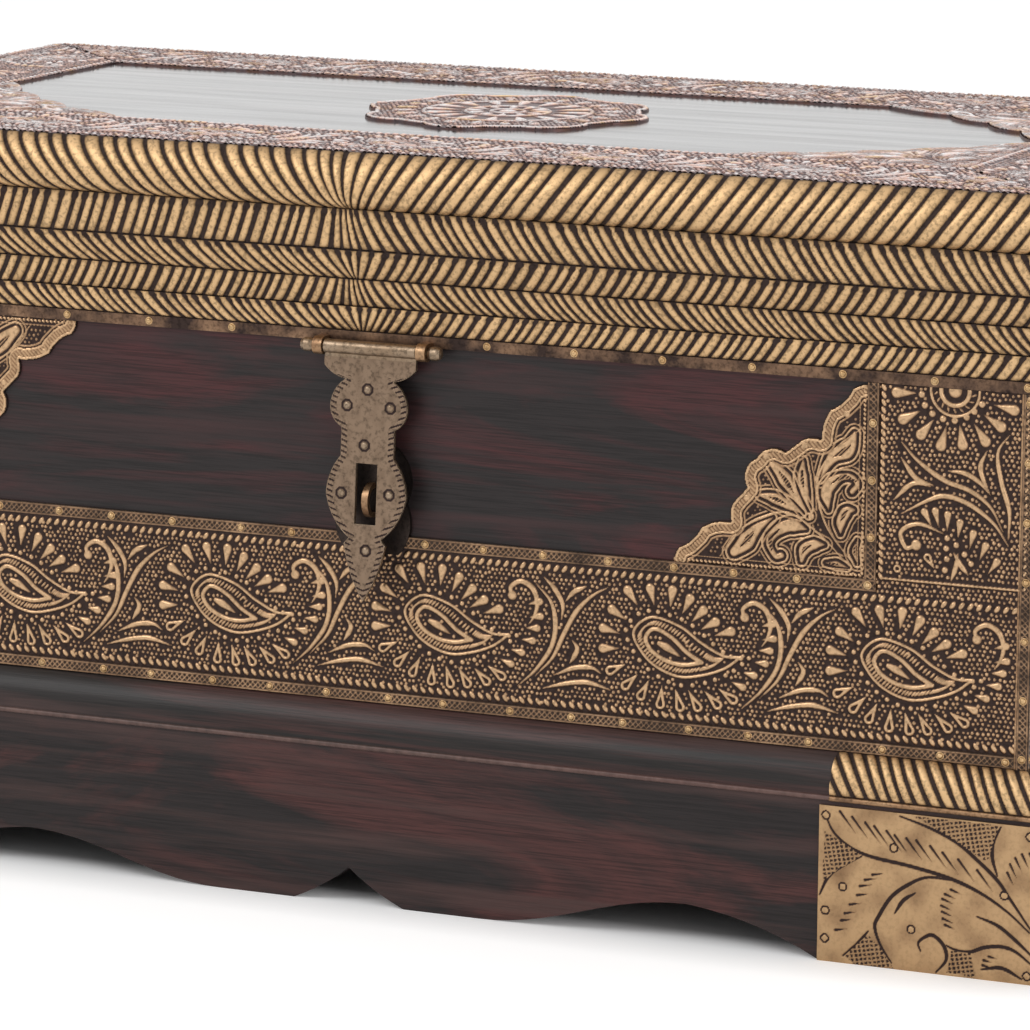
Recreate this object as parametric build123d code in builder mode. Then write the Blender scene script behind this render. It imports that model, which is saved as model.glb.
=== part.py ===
"""Wooden chest clad in embossed brass, with a hinged lid and a swinging hasp.

Millimetres. The origin is on the floor under the middle of the chest: X runs along the
front to the right, Y runs to the back and Z runs up.
"""

import os
from math import cos, radians, sin, sqrt

from build123d import *

os.makedirs("parts", exist_ok=True)

# Lid
lid_length = 868.0  # flat top, without the roll that stands out round it
lid_depth = 450.0
chest_height = 450.0
lid_height = 113.8
lid_gap = 0.3  # between the closed lid and the carcass
roll_bulge = 12.5  # how far the fluted roll stands out past the flat top
roll_nose_drop = 24.0
roll_height = 32.0
groove_out = 6.0
fascia_drops = (57.0, 75.0, 92.0, 107.0)  # lower edge of each fluted band, below the top
fascia_outs = (3.0, -4.3, -9.8, -12.0)  # its place, outward from the edge of the flat top
fascia_swell = 0.8  # crown of each fluted band
top_board_thickness = 16.0
top_board_margin = 20.0  # from the edge of the flat top to the board's edge
border_width = 88.5
edge_strip_height = 6.5
top_bracket_length = 146.0
top_bracket_gap = 5.0  # between the two brackets at the right end
medallion_radius = 92.0
medallion_lobes = 8

# Carcass
lid_end_overhang = 17.0  # from the carcass end to the edge of the flat top
lid_front_overhang = 13.5
wall = 18.0
floor_thickness = 14.0

# Plinth
plinth_end_step = 14.0  # from the carcass end to the plinth's end
plinth_front_step = 13.5
apron_height = 94.3
apron_thickness = 20.0
moulding_height = 26.5
bead_radius = 1.6
block_size = 34.0
foot_width = 132.0
foot_plate_height = 91.8
foot_plate_thickness = 1.2
cap_length = 126.0
cap_thickness = 1.2
arch_height = 23.6
arch_run = 82.0  # from the foot to the arch's highest point
cusp_height = 21.8
cusp_half_width = 36.0
lobe_end = 85.0  # where the flat lobe beside the middle cusp ends

# Brass sheet on the carcass
sheet = 1.0
band_height = 102.0
strip_width = 7.2
panel_start = 98.4  # from the carcass end to the inner edge of the upright strip
front_bracket_leg = 117.0
large_bracket_leg = 131.0
bracket_margin = 1.5  # between the brackets on the front and the far edge of the wood panel

# Hasp, staple and eyes
hasp_x = 12.0
hasp_pin_out = -4.0  # hasp pin, outward from the plinth's face
hasp_pin_drop = 1.9  # hasp pin, below the lid's lower edge
hasp_pin_radius = 2.6
hasp_pin_clearance = 0.3
hasp_thickness = 2.0
hasp_hang = 4.0  # degrees that the hasp hangs out from upright at rest
hasp_length = 149.0
hasp_shoulder = 29.5
barrel_wall = 1.6
slot_width = 13.6
slot_top = 67.6
slot_bottom = 103.6
eye_spacing = 66.8
eye_width = 6.0
eye_wall = 2.4
ball_radius = 4.2
ball_reach = 41.0
neck_radius = 1.9
back_plate_thickness = 3.0
back_plate_top = 277.0
back_plate_bottom = 211.5
back_plate_waist = 21.5
staple_x = 10.0
staple_height = 243.5
staple_half_span = 8.8
staple_wire = 1.5  # half the thickness of the strap that it is bent from
staple_width = 4.0
staple_gap = 0.35  # from the staple's nose to the hanging hasp

# Hinges at the back
hinge_places = (-250.0, 250.0)
hinge_length = 70.0
hinge_knuckles = 5
knuckle_radius = 4.5
knuckle_gap = 0.3
knuckle_clearance = 0.4
hinge_pin_radius = 2.0
hinge_pin_clearance = 0.05
leaf_thickness = 1.6
leaf_reach = 20.0

# Levels and half sizes that follow
body_length = lid_length - 2 * lid_end_overhang
body_depth = lid_depth - 2 * lid_front_overhang
plinth_length = body_length + 2 * plinth_end_step
plinth_depth = body_depth + 2 * plinth_front_step
lid_bottom = chest_height - lid_height
body_top = lid_bottom - lid_gap
band_bottom = apron_height + moulding_height
band_top = band_bottom + band_height
floor_top = apron_height + floor_thickness
board_top = chest_height - sheet
half_lid = (lid_length / 2, lid_depth / 2)
top_bracket_depth = half_lid[1] - border_width - top_bracket_gap / 2
half_body = (body_length / 2, body_depth / 2)
half_plinth = (plinth_length / 2, plinth_depth / 2)
hinge_axis_y = half_body[1] + knuckle_radius + knuckle_clearance
hinge_axis_z = (lid_bottom + body_top) / 2
hasp_pin_y = -half_plinth[1] - hasp_pin_out
hasp_pin_z = lid_bottom - hasp_pin_drop
far = 2 * chest_height

outward = {
    "front": Vector(0, -1, 0),
    "right": Vector(1, 0, 0),
    "back": Vector(0, 1, 0),
    "left": Vector(-1, 0, 0),
}


def keep(piece, name):
    """Labels a finished piece and writes it."""
    piece.label = name
    export_step(piece, f"parts/{name}.step")


def edge_point(side, half):
    """Middle of one side of the rectangle whose half sizes are given, at floor level."""
    way = outward[side]
    return Vector(way.X * half[0], way.Y * half[1], 0)


def across(side, half):
    """Plane that cuts across one side: its x runs outward from the side and its y runs up."""
    way = outward[side]
    return Plane(origin=edge_point(side, half), x_dir=way, z_dir=way.cross(Vector(0, 0, 1)))


def facing(side, half, out=0.0):
    """Plane on one side, seen from outside: x runs to the viewer's right and y runs up."""
    way = outward[side]
    return Plane(origin=edge_point(side, half) + way * out, x_dir=Vector(0, 0, 1).cross(way), z_dir=way)


def wedge(side, half):
    """Corners of the floor area that belongs to one side of a mitred frame."""
    length, depth = half
    inner = length - depth
    reach, rise = length + far, depth + far
    if side in ("front", "back"):
        way = outward[side].Y
        return (-inner, 0), (-reach, way * rise), (reach, way * rise), (inner, 0)
    way = outward[side].X
    return (way * inner, 0), (way * reach, -rise), (way * reach, rise)


def mitred_side(section, side, half):
    """One side of a frame of the given section, cut at 45 degrees at both ends."""
    with BuildPart() as piece:
        with BuildSketch(across(side, half)):
            add(section)
        extrude(amount=half[0] + far, both=True)
        with BuildSketch():
            Polygon(*wedge(side, half), align=None)
        extrude(amount=far, mode=Mode.INTERSECT)
    return piece.part


def bulged_arc(start, end, swell):
    """Arc from start to end that stands out by swell on the left of the way it runs."""
    run = sqrt((end[0] - start[0]) ** 2 + (end[1] - start[1]) ** 2)
    middle = (
        (start[0] + end[0]) / 2 - swell * (end[1] - start[1]) / run,
        (start[1] + end[1]) / 2 + swell * (end[0] - start[0]) / run,
    )
    ThreePointArc(start, middle, end)


def fascia(shift):
    """Draws the lid's moulded face from the flat top to the lower edge, moved outward by shift."""
    top = (shift, chest_height)
    nose = (roll_bulge + shift, chest_height - roll_nose_drop)
    groove = (groove_out + shift, chest_height - roll_height)
    bulged_arc(top, nose, 0.14 * roll_nose_drop)
    bulged_arc(nose, groove, 0.2 * (roll_height - roll_nose_drop))
    edge = groove
    for out, drop in zip(fascia_outs, fascia_drops):
        end = (out + shift, chest_height - drop)
        bulged_arc(edge, end, fascia_swell)
        edge = end
    foot = (edge[0], lid_bottom)
    Line(edge, foot)
    return top, foot


def moulding_line(shift):
    """Draws the plinth moulding's face from its bead up to the carcass, moved outward by shift."""
    low = (shift, apron_height)
    bead_top = (shift, apron_height + 2 * bead_radius)
    high = (shift - plinth_front_step + 1.0, band_bottom)
    ThreePointArc(low, (shift + bead_radius, apron_height + bead_radius), bead_top)
    bulged_arc(high, bead_top, 4.0)
    return low, high


# Plinth: four aprons, glue blocks and a mitred moulding
for side in ("front", "back"):
    with BuildPart() as apron:
        with BuildSketch(facing(side, half_plinth)):
            with BuildLine():
                foot = half_plinth[0] - foot_width
                top_of_arch = foot - arch_run
                Line((0, apron_height), (half_plinth[0], apron_height))
                Line((half_plinth[0], apron_height), (half_plinth[0], 0))
                Line((half_plinth[0], 0), (foot, 0))
                bulged_arc((foot, 0), (top_of_arch, arch_height), -0.05 * arch_run)
                Spline((top_of_arch, arch_height), (lobe_end, 0), tangents=((-1, 0), (-1, 0)))
                Line((lobe_end, 0), (cusp_half_width, 0))
                bulged_arc((cusp_half_width, 0), (0, cusp_height), 1.5)
                mirror(about=Plane.YZ)
            make_face()
        extrude(amount=-apron_thickness)
    keep(apron.part, f"apron_{side}")

side_apron_half = half_plinth[1] - apron_thickness
for side in ("left", "right"):
    with BuildPart() as apron:
        with BuildSketch(facing(side, half_plinth)):
            with BuildLine():
                foot = half_plinth[1] - foot_width
                top_of_arch = foot - arch_run
                Line((0, apron_height), (side_apron_half, apron_height))
                Line((side_apron_half, apron_height), (side_apron_half, 0))
                Line((side_apron_half, 0), (foot, 0))
                bulged_arc((foot, 0), (top_of_arch, arch_height), -0.05 * arch_run)
                Line((top_of_arch, arch_height), (0, arch_height))
                mirror(about=Plane.YZ)
            make_face()
        extrude(amount=-apron_thickness)
    keep(apron.part, f"apron_{side}")

block_x = half_plinth[0] - apron_thickness - block_size / 2
block_y = half_plinth[1] - apron_thickness - block_size / 2
with BuildPart() as blocks:
    with BuildSketch(Plane.XY.offset(apron_height)):
        with GridLocations(2 * block_x, 2 * block_y, 2, 2):
            Rectangle(block_size, block_size)
    extrude(amount=-(apron_height - arch_height))
keep(blocks.part, "corner_blocks")

with BuildSketch() as moulding_section:
    with BuildLine():
        low, high = moulding_line(0.0)
        Polyline(high, (-plinth_front_step, band_bottom), (-plinth_front_step, apron_height), low)
    make_face()
for side in outward:
    keep(mitred_side(moulding_section.sketch, side, half_plinth), f"plinth_moulding_{side}")

# Carcass: floor board on the aprons, four boards standing on it
with BuildPart() as floor_board:
    with BuildSketch(Plane.XY.offset(apron_height)):
        Rectangle(body_length, body_depth)
    extrude(amount=floor_thickness)
keep(floor_board.part, "floor_board")

leaf_inner_y = hinge_axis_y - leaf_reach
end_length = body_depth - 2 * wall
lengths = {"front": body_length, "back": body_length, "left": end_length, "right": end_length}
for side, length in lengths.items():
    with BuildPart() as board:
        with BuildSketch(facing(side, half_body)):
            with Locations((0, floor_top)):
                Rectangle(length, body_top - floor_top, align=(Align.CENTER, Align.MIN))
        extrude(amount=-wall)
        if side == "back":
            with BuildSketch(Plane.XY.offset(body_top)):
                with Locations(*[(x, leaf_inner_y) for x in hinge_places]):
                    Rectangle(hinge_length, leaf_reach, align=(Align.CENTER, Align.MIN))
            extrude(amount=-leaf_thickness, mode=Mode.SUBTRACT)
    keep(board.part, f"{side}_board")

# Brass sheet on the carcass: bands, end panels, strips and angles
front_sheet_half = half_body[0] + sheet
for side, half_width in (("front", front_sheet_half), ("left", half_body[1]), ("right", half_body[1])):
    with BuildPart() as band:
        with BuildSketch(facing(side, half_body)):
            with Locations((0, band_bottom)):
                Rectangle(2 * half_width, band_height, align=(Align.CENTER, Align.MIN))
        extrude(amount=sheet)
    keep(band.part, f"{side}_band")

panel_height = body_top - band_top
for sign, name in ((-1, "front_left"), (1, "front_right")):
    with BuildPart() as end_panel:
        with BuildSketch(facing("front", half_body)):
            with Locations((sign * (half_body[0] - panel_start), band_top)):
                outer = Align.MIN if sign > 0 else Align.MAX
                Rectangle(panel_start + sheet, panel_height, align=(outer, Align.MIN))
        extrude(amount=sheet)
    keep(end_panel.part, f"end_panel_{name}")
for side in ("left", "right"):
    with BuildPart() as end_panels:
        with BuildSketch(facing(side, half_body)):
            with Locations((half_body[1], band_top)):
                Rectangle(panel_start, panel_height, align=(Align.MAX, Align.MIN))
            mirror(about=Plane.YZ)
        extrude(amount=sheet)
    keep(end_panels.part, f"{side}_end_panels")


def strip_sketch(half_width, strip_reach):
    """Draws the strips of one side: two long ones, two upright ones."""
    inner = half_width - panel_start
    with Locations((0, band_top - strip_width)):
        Rectangle(2 * (inner + strip_width), strip_width, align=(Align.CENTER, Align.MIN))
    with Locations((0, band_bottom)):
        Rectangle(2 * strip_reach, strip_width, align=(Align.CENTER, Align.MIN))
    for x, edge in ((inner, Align.MIN), (-inner, Align.MAX)):
        with Locations((x, band_top)):
            Rectangle(strip_width, panel_height, align=(edge, Align.MIN))


with BuildPart() as front_strips:
    with BuildSketch(facing("front", half_body, sheet)):
        strip_sketch(half_body[0], front_sheet_half - strip_width)
    extrude(amount=sheet)
keep(front_strips.part, "front_strips")

side_strip_half = half_body[1] + sheet - strip_width
with BuildPart() as side_strips:
    for side in ("left", "right"):
        with BuildSketch(facing(side, half_body, sheet)):
            strip_sketch(half_body[1], side_strip_half)
    extrude(amount=sheet)
    for side in (-1, 1):
        with BuildSketch(Plane.XY.offset(band_bottom)):
            with Locations((side * front_sheet_half, half_body[1])):
                outer = Align.MIN if side > 0 else Align.MAX
                Rectangle(sheet, strip_width - sheet, align=(outer, Align.MAX))
        extrude(amount=body_top - band_bottom)
keep(side_strips.part, "side_strips")

with BuildPart() as corner_angles:
    with BuildSketch(Plane.XY.offset(band_bottom)):
        corner_x, corner_y = front_sheet_half, -half_body[1] - sheet
        with Locations((corner_x + sheet, corner_y - sheet)):
            Rectangle(strip_width + sheet, strip_width + sheet, align=(Align.MAX, Align.MIN))
        with Locations((corner_x, corner_y)):
            Rectangle(strip_width, strip_width, align=(Align.MAX, Align.MIN), mode=Mode.SUBTRACT)
        mirror(about=Plane.YZ)
    extrude(amount=body_top - band_bottom)
keep(corner_angles.part, "corner_angles")


def bracket_outline(first_length, second_length, shares):
    """Draws a corner bracket with its right angle at the origin and a lobed edge.

    Each share is a point of the lobed edge in lengths of the two legs, with the swell of the
    arc that ends there. The edge is the same on both sides of the diagonal.
    """
    lobes = list(shares)
    lobes += [(y, x, swell) for (x, y, _), (_, _, swell) in zip(lobes[-2::-1], lobes[:0:-1])]
    points = [(first_length * x, second_length * y, second_length * swell) for x, y, swell in lobes]
    Line((0, 0), points[0][:2])
    for start, end in zip(points, points[1:]):
        if end[2]:
            bulged_arc(start[:2], end[:2], end[2])
        else:
            Line(start[:2], end[:2])
    Line(points[-1][:2], (0, 0))


front_bracket_shares = (
    (1.0, 0.0, 0.0),
    (0.97, 0.08, -0.01),
    (0.86, 0.19, 0.015),
    (0.7, 0.235, -0.015),
    (0.67, 0.36, -0.02),
    (0.62, 0.42, 0.0),
    (0.575, 0.575, -0.035),
)
top_bracket_shares = (
    (1.0, 0.0, 0.0),
    (0.66, 0.2, -0.03),
    (0.42, 0.42, -0.04),
)

front_plane = facing("front", half_body)
panel_edge = half_body[0] - panel_start
for name, leg, x, z, first_leg in (
    ("bracket_lower_right", front_bracket_leg, panel_edge, band_top, (0, 0, 1)),
    ("bracket_upper_left", large_bracket_leg, -panel_edge, body_top, (0, 0, -1)),
):
    with BuildPart() as bracket:
        with BuildSketch(Plane(origin=(x, -half_body[1], z), x_dir=first_leg, z_dir=(0, -1, 0))):
            with BuildLine():
                bracket_outline(panel_height - bracket_margin, leg, front_bracket_shares)
            make_face()
        extrude(amount=sheet)
    keep(bracket.part, name)

# Foot plates and ribbed caps round the plinth's four corners
with BuildSketch() as cap_section:
    with BuildLine():
        low_out, high_out = moulding_line(cap_thickness)
        low_in, high_in = moulding_line(0.0)
        Line(low_out, low_in)
        Line(high_out, high_in)
    make_face()

for front_or_back, sy in (("front", -1), ("back", 1)):
    for left_or_right, sx in (("left", -1), ("right", 1)):
        x_align = Align.MAX if sx > 0 else Align.MIN
        y_align = Align.MAX if sy > 0 else Align.MIN
        with BuildPart() as foot_plate:
            with BuildSketch():
                outer_width = foot_width + foot_plate_thickness
                outer_x = sx * (half_plinth[0] + foot_plate_thickness)
                outer_y = sy * (half_plinth[1] + foot_plate_thickness)
                with Locations((outer_x, outer_y)):
                    Rectangle(outer_width, outer_width, align=(x_align, y_align))
                with Locations((sx * half_plinth[0], sy * half_plinth[1])):
                    Rectangle(foot_width, foot_width, align=(x_align, y_align), mode=Mode.SUBTRACT)
            extrude(amount=foot_plate_height)
        keep(foot_plate.part, f"foot_plate_{front_or_back}_{left_or_right}")

        with BuildPart() as cap:
            add(mitred_side(cap_section.sketch, front_or_back, half_plinth))
            add(mitred_side(cap_section.sketch, left_or_right, half_plinth))
            with BuildSketch():
                with Locations((sx * (half_plinth[0] + far), sy * (half_plinth[1] + far))):
                    Rectangle(far + cap_length, far + cap_length, align=(x_align, y_align))
            extrude(amount=far, mode=Mode.INTERSECT)
        keep(cap.part, f"moulding_cap_{front_or_back}_{left_or_right}")

# Lid: board in a rebate of four moulded rails
board_half = (half_lid[0] - top_board_margin, half_lid[1] - top_board_margin)
with BuildPart() as lid_board:
    with BuildSketch(Plane.XY.offset(board_top)):
        Rectangle(2 * board_half[0], 2 * board_half[1])
    extrude(amount=-top_board_thickness)
keep(lid_board.part, "lid_top_board")

rail_inner = -lid_front_overhang - wall
ledge = board_top - top_board_thickness


def rail_section(shift):
    """Section of a lid rail whose moulded face is moved outward by shift."""
    with BuildSketch() as section:
        with BuildLine():
            top, foot = fascia(shift)
            Polyline(foot, (rail_inner, lid_bottom), (rail_inner, chest_height), top)
        make_face()
        with Locations((rail_inner, chest_height)):
            Rectangle(-sheet - rail_inner, sheet, align=(Align.MIN, Align.MAX), mode=Mode.SUBTRACT)
        with Locations((rail_inner, board_top)):
            rebate = -top_board_margin - rail_inner
            Rectangle(rebate, board_top - ledge, align=(Align.MIN, Align.MAX), mode=Mode.SUBTRACT)
    return section.sketch


for side in ("front", "left", "right"):
    keep(mitred_side(rail_section(-sheet), side, half_lid), f"lid_rail_{side}")

relief_length = hinge_length + 2 * knuckle_gap
with BuildPart() as back_rail:
    add(mitred_side(rail_section(0.0), "back", half_lid))
    with BuildSketch(Plane.XY.offset(lid_bottom)):
        with Locations(*[(x, leaf_inner_y) for x in hinge_places]):
            Rectangle(hinge_length, leaf_reach, align=(Align.CENTER, Align.MIN))
    extrude(amount=leaf_thickness, mode=Mode.SUBTRACT)
    with Locations(*[(x, hinge_axis_y, hinge_axis_z) for x in hinge_places]):
        Cylinder(knuckle_radius + knuckle_clearance, relief_length, rotation=(0, 90, 0), mode=Mode.SUBTRACT)
keep(back_rail.part, "lid_rail_back")

# Fluted sheaths over the rails, borders, brackets and medallion on the flat top
with BuildSketch() as sheath_section:
    with BuildLine():
        outer_top, outer_foot = fascia(0.0)
        inner_top, inner_foot = fascia(-sheet)
        Line(outer_top, inner_top)
        Line(outer_foot, inner_foot)
    make_face()
for side in ("front", "left", "right"):
    keep(mitred_side(sheath_section.sketch, side, half_lid), f"lid_sheath_{side}")

with BuildSketch() as border_section:
    with Locations((-sheet, chest_height)):
        Rectangle(border_width - sheet, sheet, align=(Align.MAX, Align.MAX))
for side in outward:
    keep(mitred_side(border_section.sketch, side, half_lid), f"top_border_{side}")

along, deep = top_bracket_length, top_bracket_depth
for name, sx, sy, first_leg, legs in (
    ("front_left", -1, -1, (1, 0, 0), (along, deep)),
    ("front_right", 1, -1, (0, 1, 0), (deep, along)),
    ("back_right", 1, 1, (-1, 0, 0), (along, deep)),
):
    corner = (sx * (half_lid[0] - border_width), sy * (half_lid[1] - border_width), board_top)
    with BuildPart() as top_bracket:
        with BuildSketch(Plane(origin=corner, x_dir=first_leg, z_dir=(0, 0, 1))):
            with BuildLine():
                bracket_outline(*legs, top_bracket_shares)
            make_face()
        extrude(amount=sheet)
    keep(top_bracket.part, f"top_bracket_{name}")

with BuildPart() as medallion:
    with BuildSketch(Plane.XY.offset(board_top)):
        Circle(0.9 * medallion_radius)
        with PolarLocations(0.72 * medallion_radius, medallion_lobes):
            Circle(0.28 * medallion_radius)
    extrude(amount=sheet)
keep(medallion.part, "top_medallion")

edge_strip_out = fascia_outs[-1]
with BuildSketch() as edge_strip_section:
    with Locations((edge_strip_out, lid_bottom)):
        Rectangle(sheet, edge_strip_height, align=(Align.MIN, Align.MIN))
with BuildPart() as edge_strip:
    for side in ("front", "left", "right"):
        add(mitred_side(edge_strip_section.sketch, side, half_lid))
keep(edge_strip.part, "lid_edge_strip")

# Hasp: plate hanging from a ball-ended pin that two eyes on the lid hold
hasp_pin = Vector(hasp_x, hasp_pin_y, hasp_pin_z)
hang = radians(hasp_hang)
hasp_plane = Plane(origin=hasp_pin, x_dir=(1, 0, 0), z_dir=(0, -cos(hang), sin(hang)))
barrel_radius = hasp_pin_radius + barrel_wall

eye_bore = hasp_pin_radius + hasp_pin_clearance
eye_radius = eye_bore + eye_wall
strip_face_y = -half_lid[1] - edge_strip_out - sheet
with BuildPart() as eyes:
    with Locations(hasp_pin + Vector(eye_spacing / 2, 0, 0), hasp_pin - Vector(eye_spacing / 2, 0, 0)):
        Cylinder(eye_radius, eye_width, rotation=(0, 90, 0))
        with Locations((0, 0, eye_radius)):
            shank = strip_face_y - hasp_pin_y
            Box(eye_width, shank, eye_wall, align=(Align.CENTER, Align.MIN, Align.MAX))
        Cylinder(eye_bore, eye_width, rotation=(0, 90, 0), mode=Mode.SUBTRACT)
keep(eyes.part, "hasp_eyes")

# Half outline of the turned pin: shank, neck and a knob with flats
with BuildPart() as pin:
    with BuildSketch(Plane(origin=hasp_pin, x_dir=(1, 0, 0), z_dir=(0, -1, 0))):
        with BuildLine():
            knob_start = ball_reach - ball_radius
            Polyline(
                (0, 0),
                (0, hasp_pin_radius),
                (knob_start - 1.5, hasp_pin_radius),
                (knob_start - 0.8, neck_radius),
                (knob_start, neck_radius),
                (ball_reach - 0.9 * ball_radius, 0.75 * ball_radius),
                (ball_reach - 0.4 * ball_radius, ball_radius),
                (ball_reach + 0.4 * ball_radius, ball_radius),
                (ball_reach + 0.9 * ball_radius, 0.75 * ball_radius),
                (ball_reach + 1.1 * ball_radius, 0.3 * ball_radius),
                (ball_reach + 1.1 * ball_radius, 0),
                (0, 0),
            )
        make_face()
        mirror(about=Plane.YZ)
    revolve(axis=Axis(hasp_pin, (1, 0, 0)))
keep(pin.part, "hasp_pin")

# Half widths of the hasp at distances below its pin; the last number is the arc's swell
hasp_edge = (
    (29.5, 11.0, 0.0),
    (15.4, 18.5, -1.5),
    (25.0, 35.0, -2.5),
    (17.2, 47.0, -2.0),
    (17.2, 64.0, 0.0),
    (26.0, 86.0, -2.0),
    (10.4, 112.0, -3.0),
    (13.4, 115.5, 0.0),
    (0.0, hasp_length, -2.0),
)
with BuildPart() as hasp:
    with BuildSketch(hasp_plane.offset(-hasp_thickness / 2)):
        with BuildLine():
            Line((0, 0), (hasp_shoulder, 0))
            last = (hasp_shoulder, 0)
            for half_width, drop, swell in hasp_edge:
                point = (half_width, -drop)
                if swell:
                    bulged_arc(last, point, -swell)
                else:
                    Line(last, point)
                last = point
            mirror(about=Plane.YZ)
        make_face()
        with Locations((0, -(slot_top + slot_bottom) / 2)):
            Rectangle(slot_width, slot_bottom - slot_top, mode=Mode.SUBTRACT)
    extrude(amount=hasp_thickness)
    with Locations(hasp_pin):
        Cylinder(barrel_radius, 2 * hasp_shoulder, rotation=(0, 90, 0))
        Cylinder(hasp_pin_radius, 2 * hasp_shoulder, rotation=(0, 90, 0), mode=Mode.SUBTRACT)
keep(hasp.part, "hasp_plate")

# Back plate behind the hasp, notched over the band and its strip, with the staple on it
with BuildPart() as back_plate:
    with BuildSketch(front_plane):
        with BuildLine():
            middle = (back_plate_top + back_plate_bottom) / 2 - 2.0
            Line((staple_x, back_plate_top + 6.0), (staple_x, back_plate_bottom))
            Line((staple_x, back_plate_bottom), (staple_x + 16.8, back_plate_bottom))
            shoulder_low = (staple_x + back_plate_waist, middle)
            bulged_arc((staple_x + 16.8, back_plate_bottom), shoulder_low, -5.0)
            bulged_arc(shoulder_low, (staple_x + 16.5, back_plate_top - 3.0), -5.5)
            Line((staple_x + 16.5, back_plate_top - 3.0), (staple_x, back_plate_top + 6.0))
        make_face()
        mirror(about=Plane.YZ.offset(staple_x))
    extrude(amount=back_plate_thickness)
    with BuildSketch(front_plane):
        with Locations((0, band_bottom)):
            Rectangle(body_length, band_height, align=(Align.CENTER, Align.MIN))
    extrude(amount=sheet, mode=Mode.SUBTRACT)
    with BuildSketch(facing("front", half_body, sheet)):
        with Locations((0, band_top - strip_width)):
            Rectangle(body_length, strip_width, align=(Align.CENTER, Align.MIN))
    extrude(amount=sheet, mode=Mode.SUBTRACT)
keep(back_plate.part, "hasp_back_plate")

staple_drop = (hasp_pin_z - staple_height) / cos(hang)
hasp_back_y = hasp_pin_y + hasp_thickness / 2 * cos(hang) - staple_drop * sin(hang)
staple_nose_y = hasp_back_y + staple_gap + staple_wire
plate_face_y = -half_body[1] - back_plate_thickness
bend_y = staple_nose_y + staple_half_span
with BuildPart() as staple:
    with BuildLine(Plane.YZ.offset(staple_x)):
        low_leg = (plate_face_y, staple_height - staple_half_span)
        high_leg = (plate_face_y, staple_height + staple_half_span)
        low_bend = (bend_y, low_leg[1])
        high_bend = (bend_y, high_leg[1])
        Line(low_leg, low_bend)
        ThreePointArc(low_bend, (staple_nose_y, staple_height), high_bend)
        Line(high_bend, high_leg)
    with BuildSketch(Plane(origin=(staple_x, *low_leg), x_dir=(1, 0, 0), z_dir=(0, -1, 0))):
        Rectangle(staple_width, 2 * staple_wire)
    sweep()
keep(staple.part, "hasp_staple")

# Butt hinges: leaves let into the joint, knuckles outside the back, one pin each
segment = hinge_length / hinge_knuckles
for name, first, leaf_low in (("lower", 0, body_top - leaf_thickness), ("upper", 1, lid_bottom)):
    steps = [(n + 0.5) * segment - hinge_length / 2 for n in range(first, hinge_knuckles, 2)]
    places = [x + step for x in hinge_places for step in steps]
    with BuildPart() as leaves:
        with BuildSketch(Plane.XY.offset(leaf_low)):
            with Locations(*[(x, leaf_inner_y) for x in hinge_places]):
                Rectangle(hinge_length, half_body[1] - leaf_inner_y, align=(Align.CENTER, Align.MIN))
            with Locations(*[(x, leaf_inner_y) for x in places]):
                Rectangle(segment - knuckle_gap, leaf_reach, align=(Align.CENTER, Align.MIN))
        extrude(amount=leaf_thickness)
        with Locations(*[(x, hinge_axis_y, hinge_axis_z) for x in places]):
            Cylinder(knuckle_radius, segment - knuckle_gap, rotation=(0, 90, 0))
            bore = hinge_pin_radius + hinge_pin_clearance
            Cylinder(bore, segment, rotation=(0, 90, 0), mode=Mode.SUBTRACT)
    keep(leaves.part, f"hinge_{name}_leaves")

with BuildPart() as hinge_pins:
    with Locations(*[(x, hinge_axis_y, hinge_axis_z) for x in hinge_places]):
        Cylinder(hinge_pin_radius, hinge_length, rotation=(0, 90, 0))
keep(hinge_pins.part, "hinge_pins")
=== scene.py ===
from math import asin, atan2, ceil, cos, hypot, pi, radians, sin, sqrt

import bpy
import numpy as np
from mathutils import Matrix, Vector
from mathutils.bvhtree import BVHTree


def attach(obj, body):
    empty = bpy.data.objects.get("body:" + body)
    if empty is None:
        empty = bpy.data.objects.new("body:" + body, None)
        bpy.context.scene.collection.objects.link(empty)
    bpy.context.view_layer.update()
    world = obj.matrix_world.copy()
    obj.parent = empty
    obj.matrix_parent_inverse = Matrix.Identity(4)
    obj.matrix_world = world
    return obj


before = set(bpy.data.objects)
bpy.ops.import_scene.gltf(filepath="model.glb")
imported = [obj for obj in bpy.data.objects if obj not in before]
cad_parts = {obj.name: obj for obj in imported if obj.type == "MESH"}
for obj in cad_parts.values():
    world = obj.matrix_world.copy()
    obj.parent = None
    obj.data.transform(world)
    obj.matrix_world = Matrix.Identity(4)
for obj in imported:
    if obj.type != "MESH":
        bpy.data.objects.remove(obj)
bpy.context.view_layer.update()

# Lengths are in millimetres until a mesh is made
MM = 0.001

# Driving sizes, as in the model's source
LID_HALF = (434.0, 225.0)
BODY_HALF = (417.0, 211.5)
PLINTH_HALF = (431.0, 225.0)
CHEST_TOP = 450.0
LID_BOTTOM = 336.2
BODY_TOP = 335.9
APRON_TOP = 94.3
BAND_BOTTOM = 120.8
BAND_HEIGHT = 102.0
BAND_TOP = BAND_BOTTOM + BAND_HEIGHT
PANEL_HEIGHT = BODY_TOP - BAND_TOP
SHEET = 1.0
STRIP = 7.2
PANEL_START = 98.4
BORDER = 88.5
FOOT_WIDTH = 132.0
FOOT_HEIGHT = 91.8
FOOT_SHEET = 1.2
CAP_SHEET = 1.2
CAP_LENGTH = 126.0
CAP_BEAD = 1.6
MOULDING_REACH = 13.5
BRACKET_LEG = 117.0
LARGE_BRACKET_LEG = 131.0
TOP_BRACKET = (146.0, 134.0)
MEDALLION_RADIUS = 92.0

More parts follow.
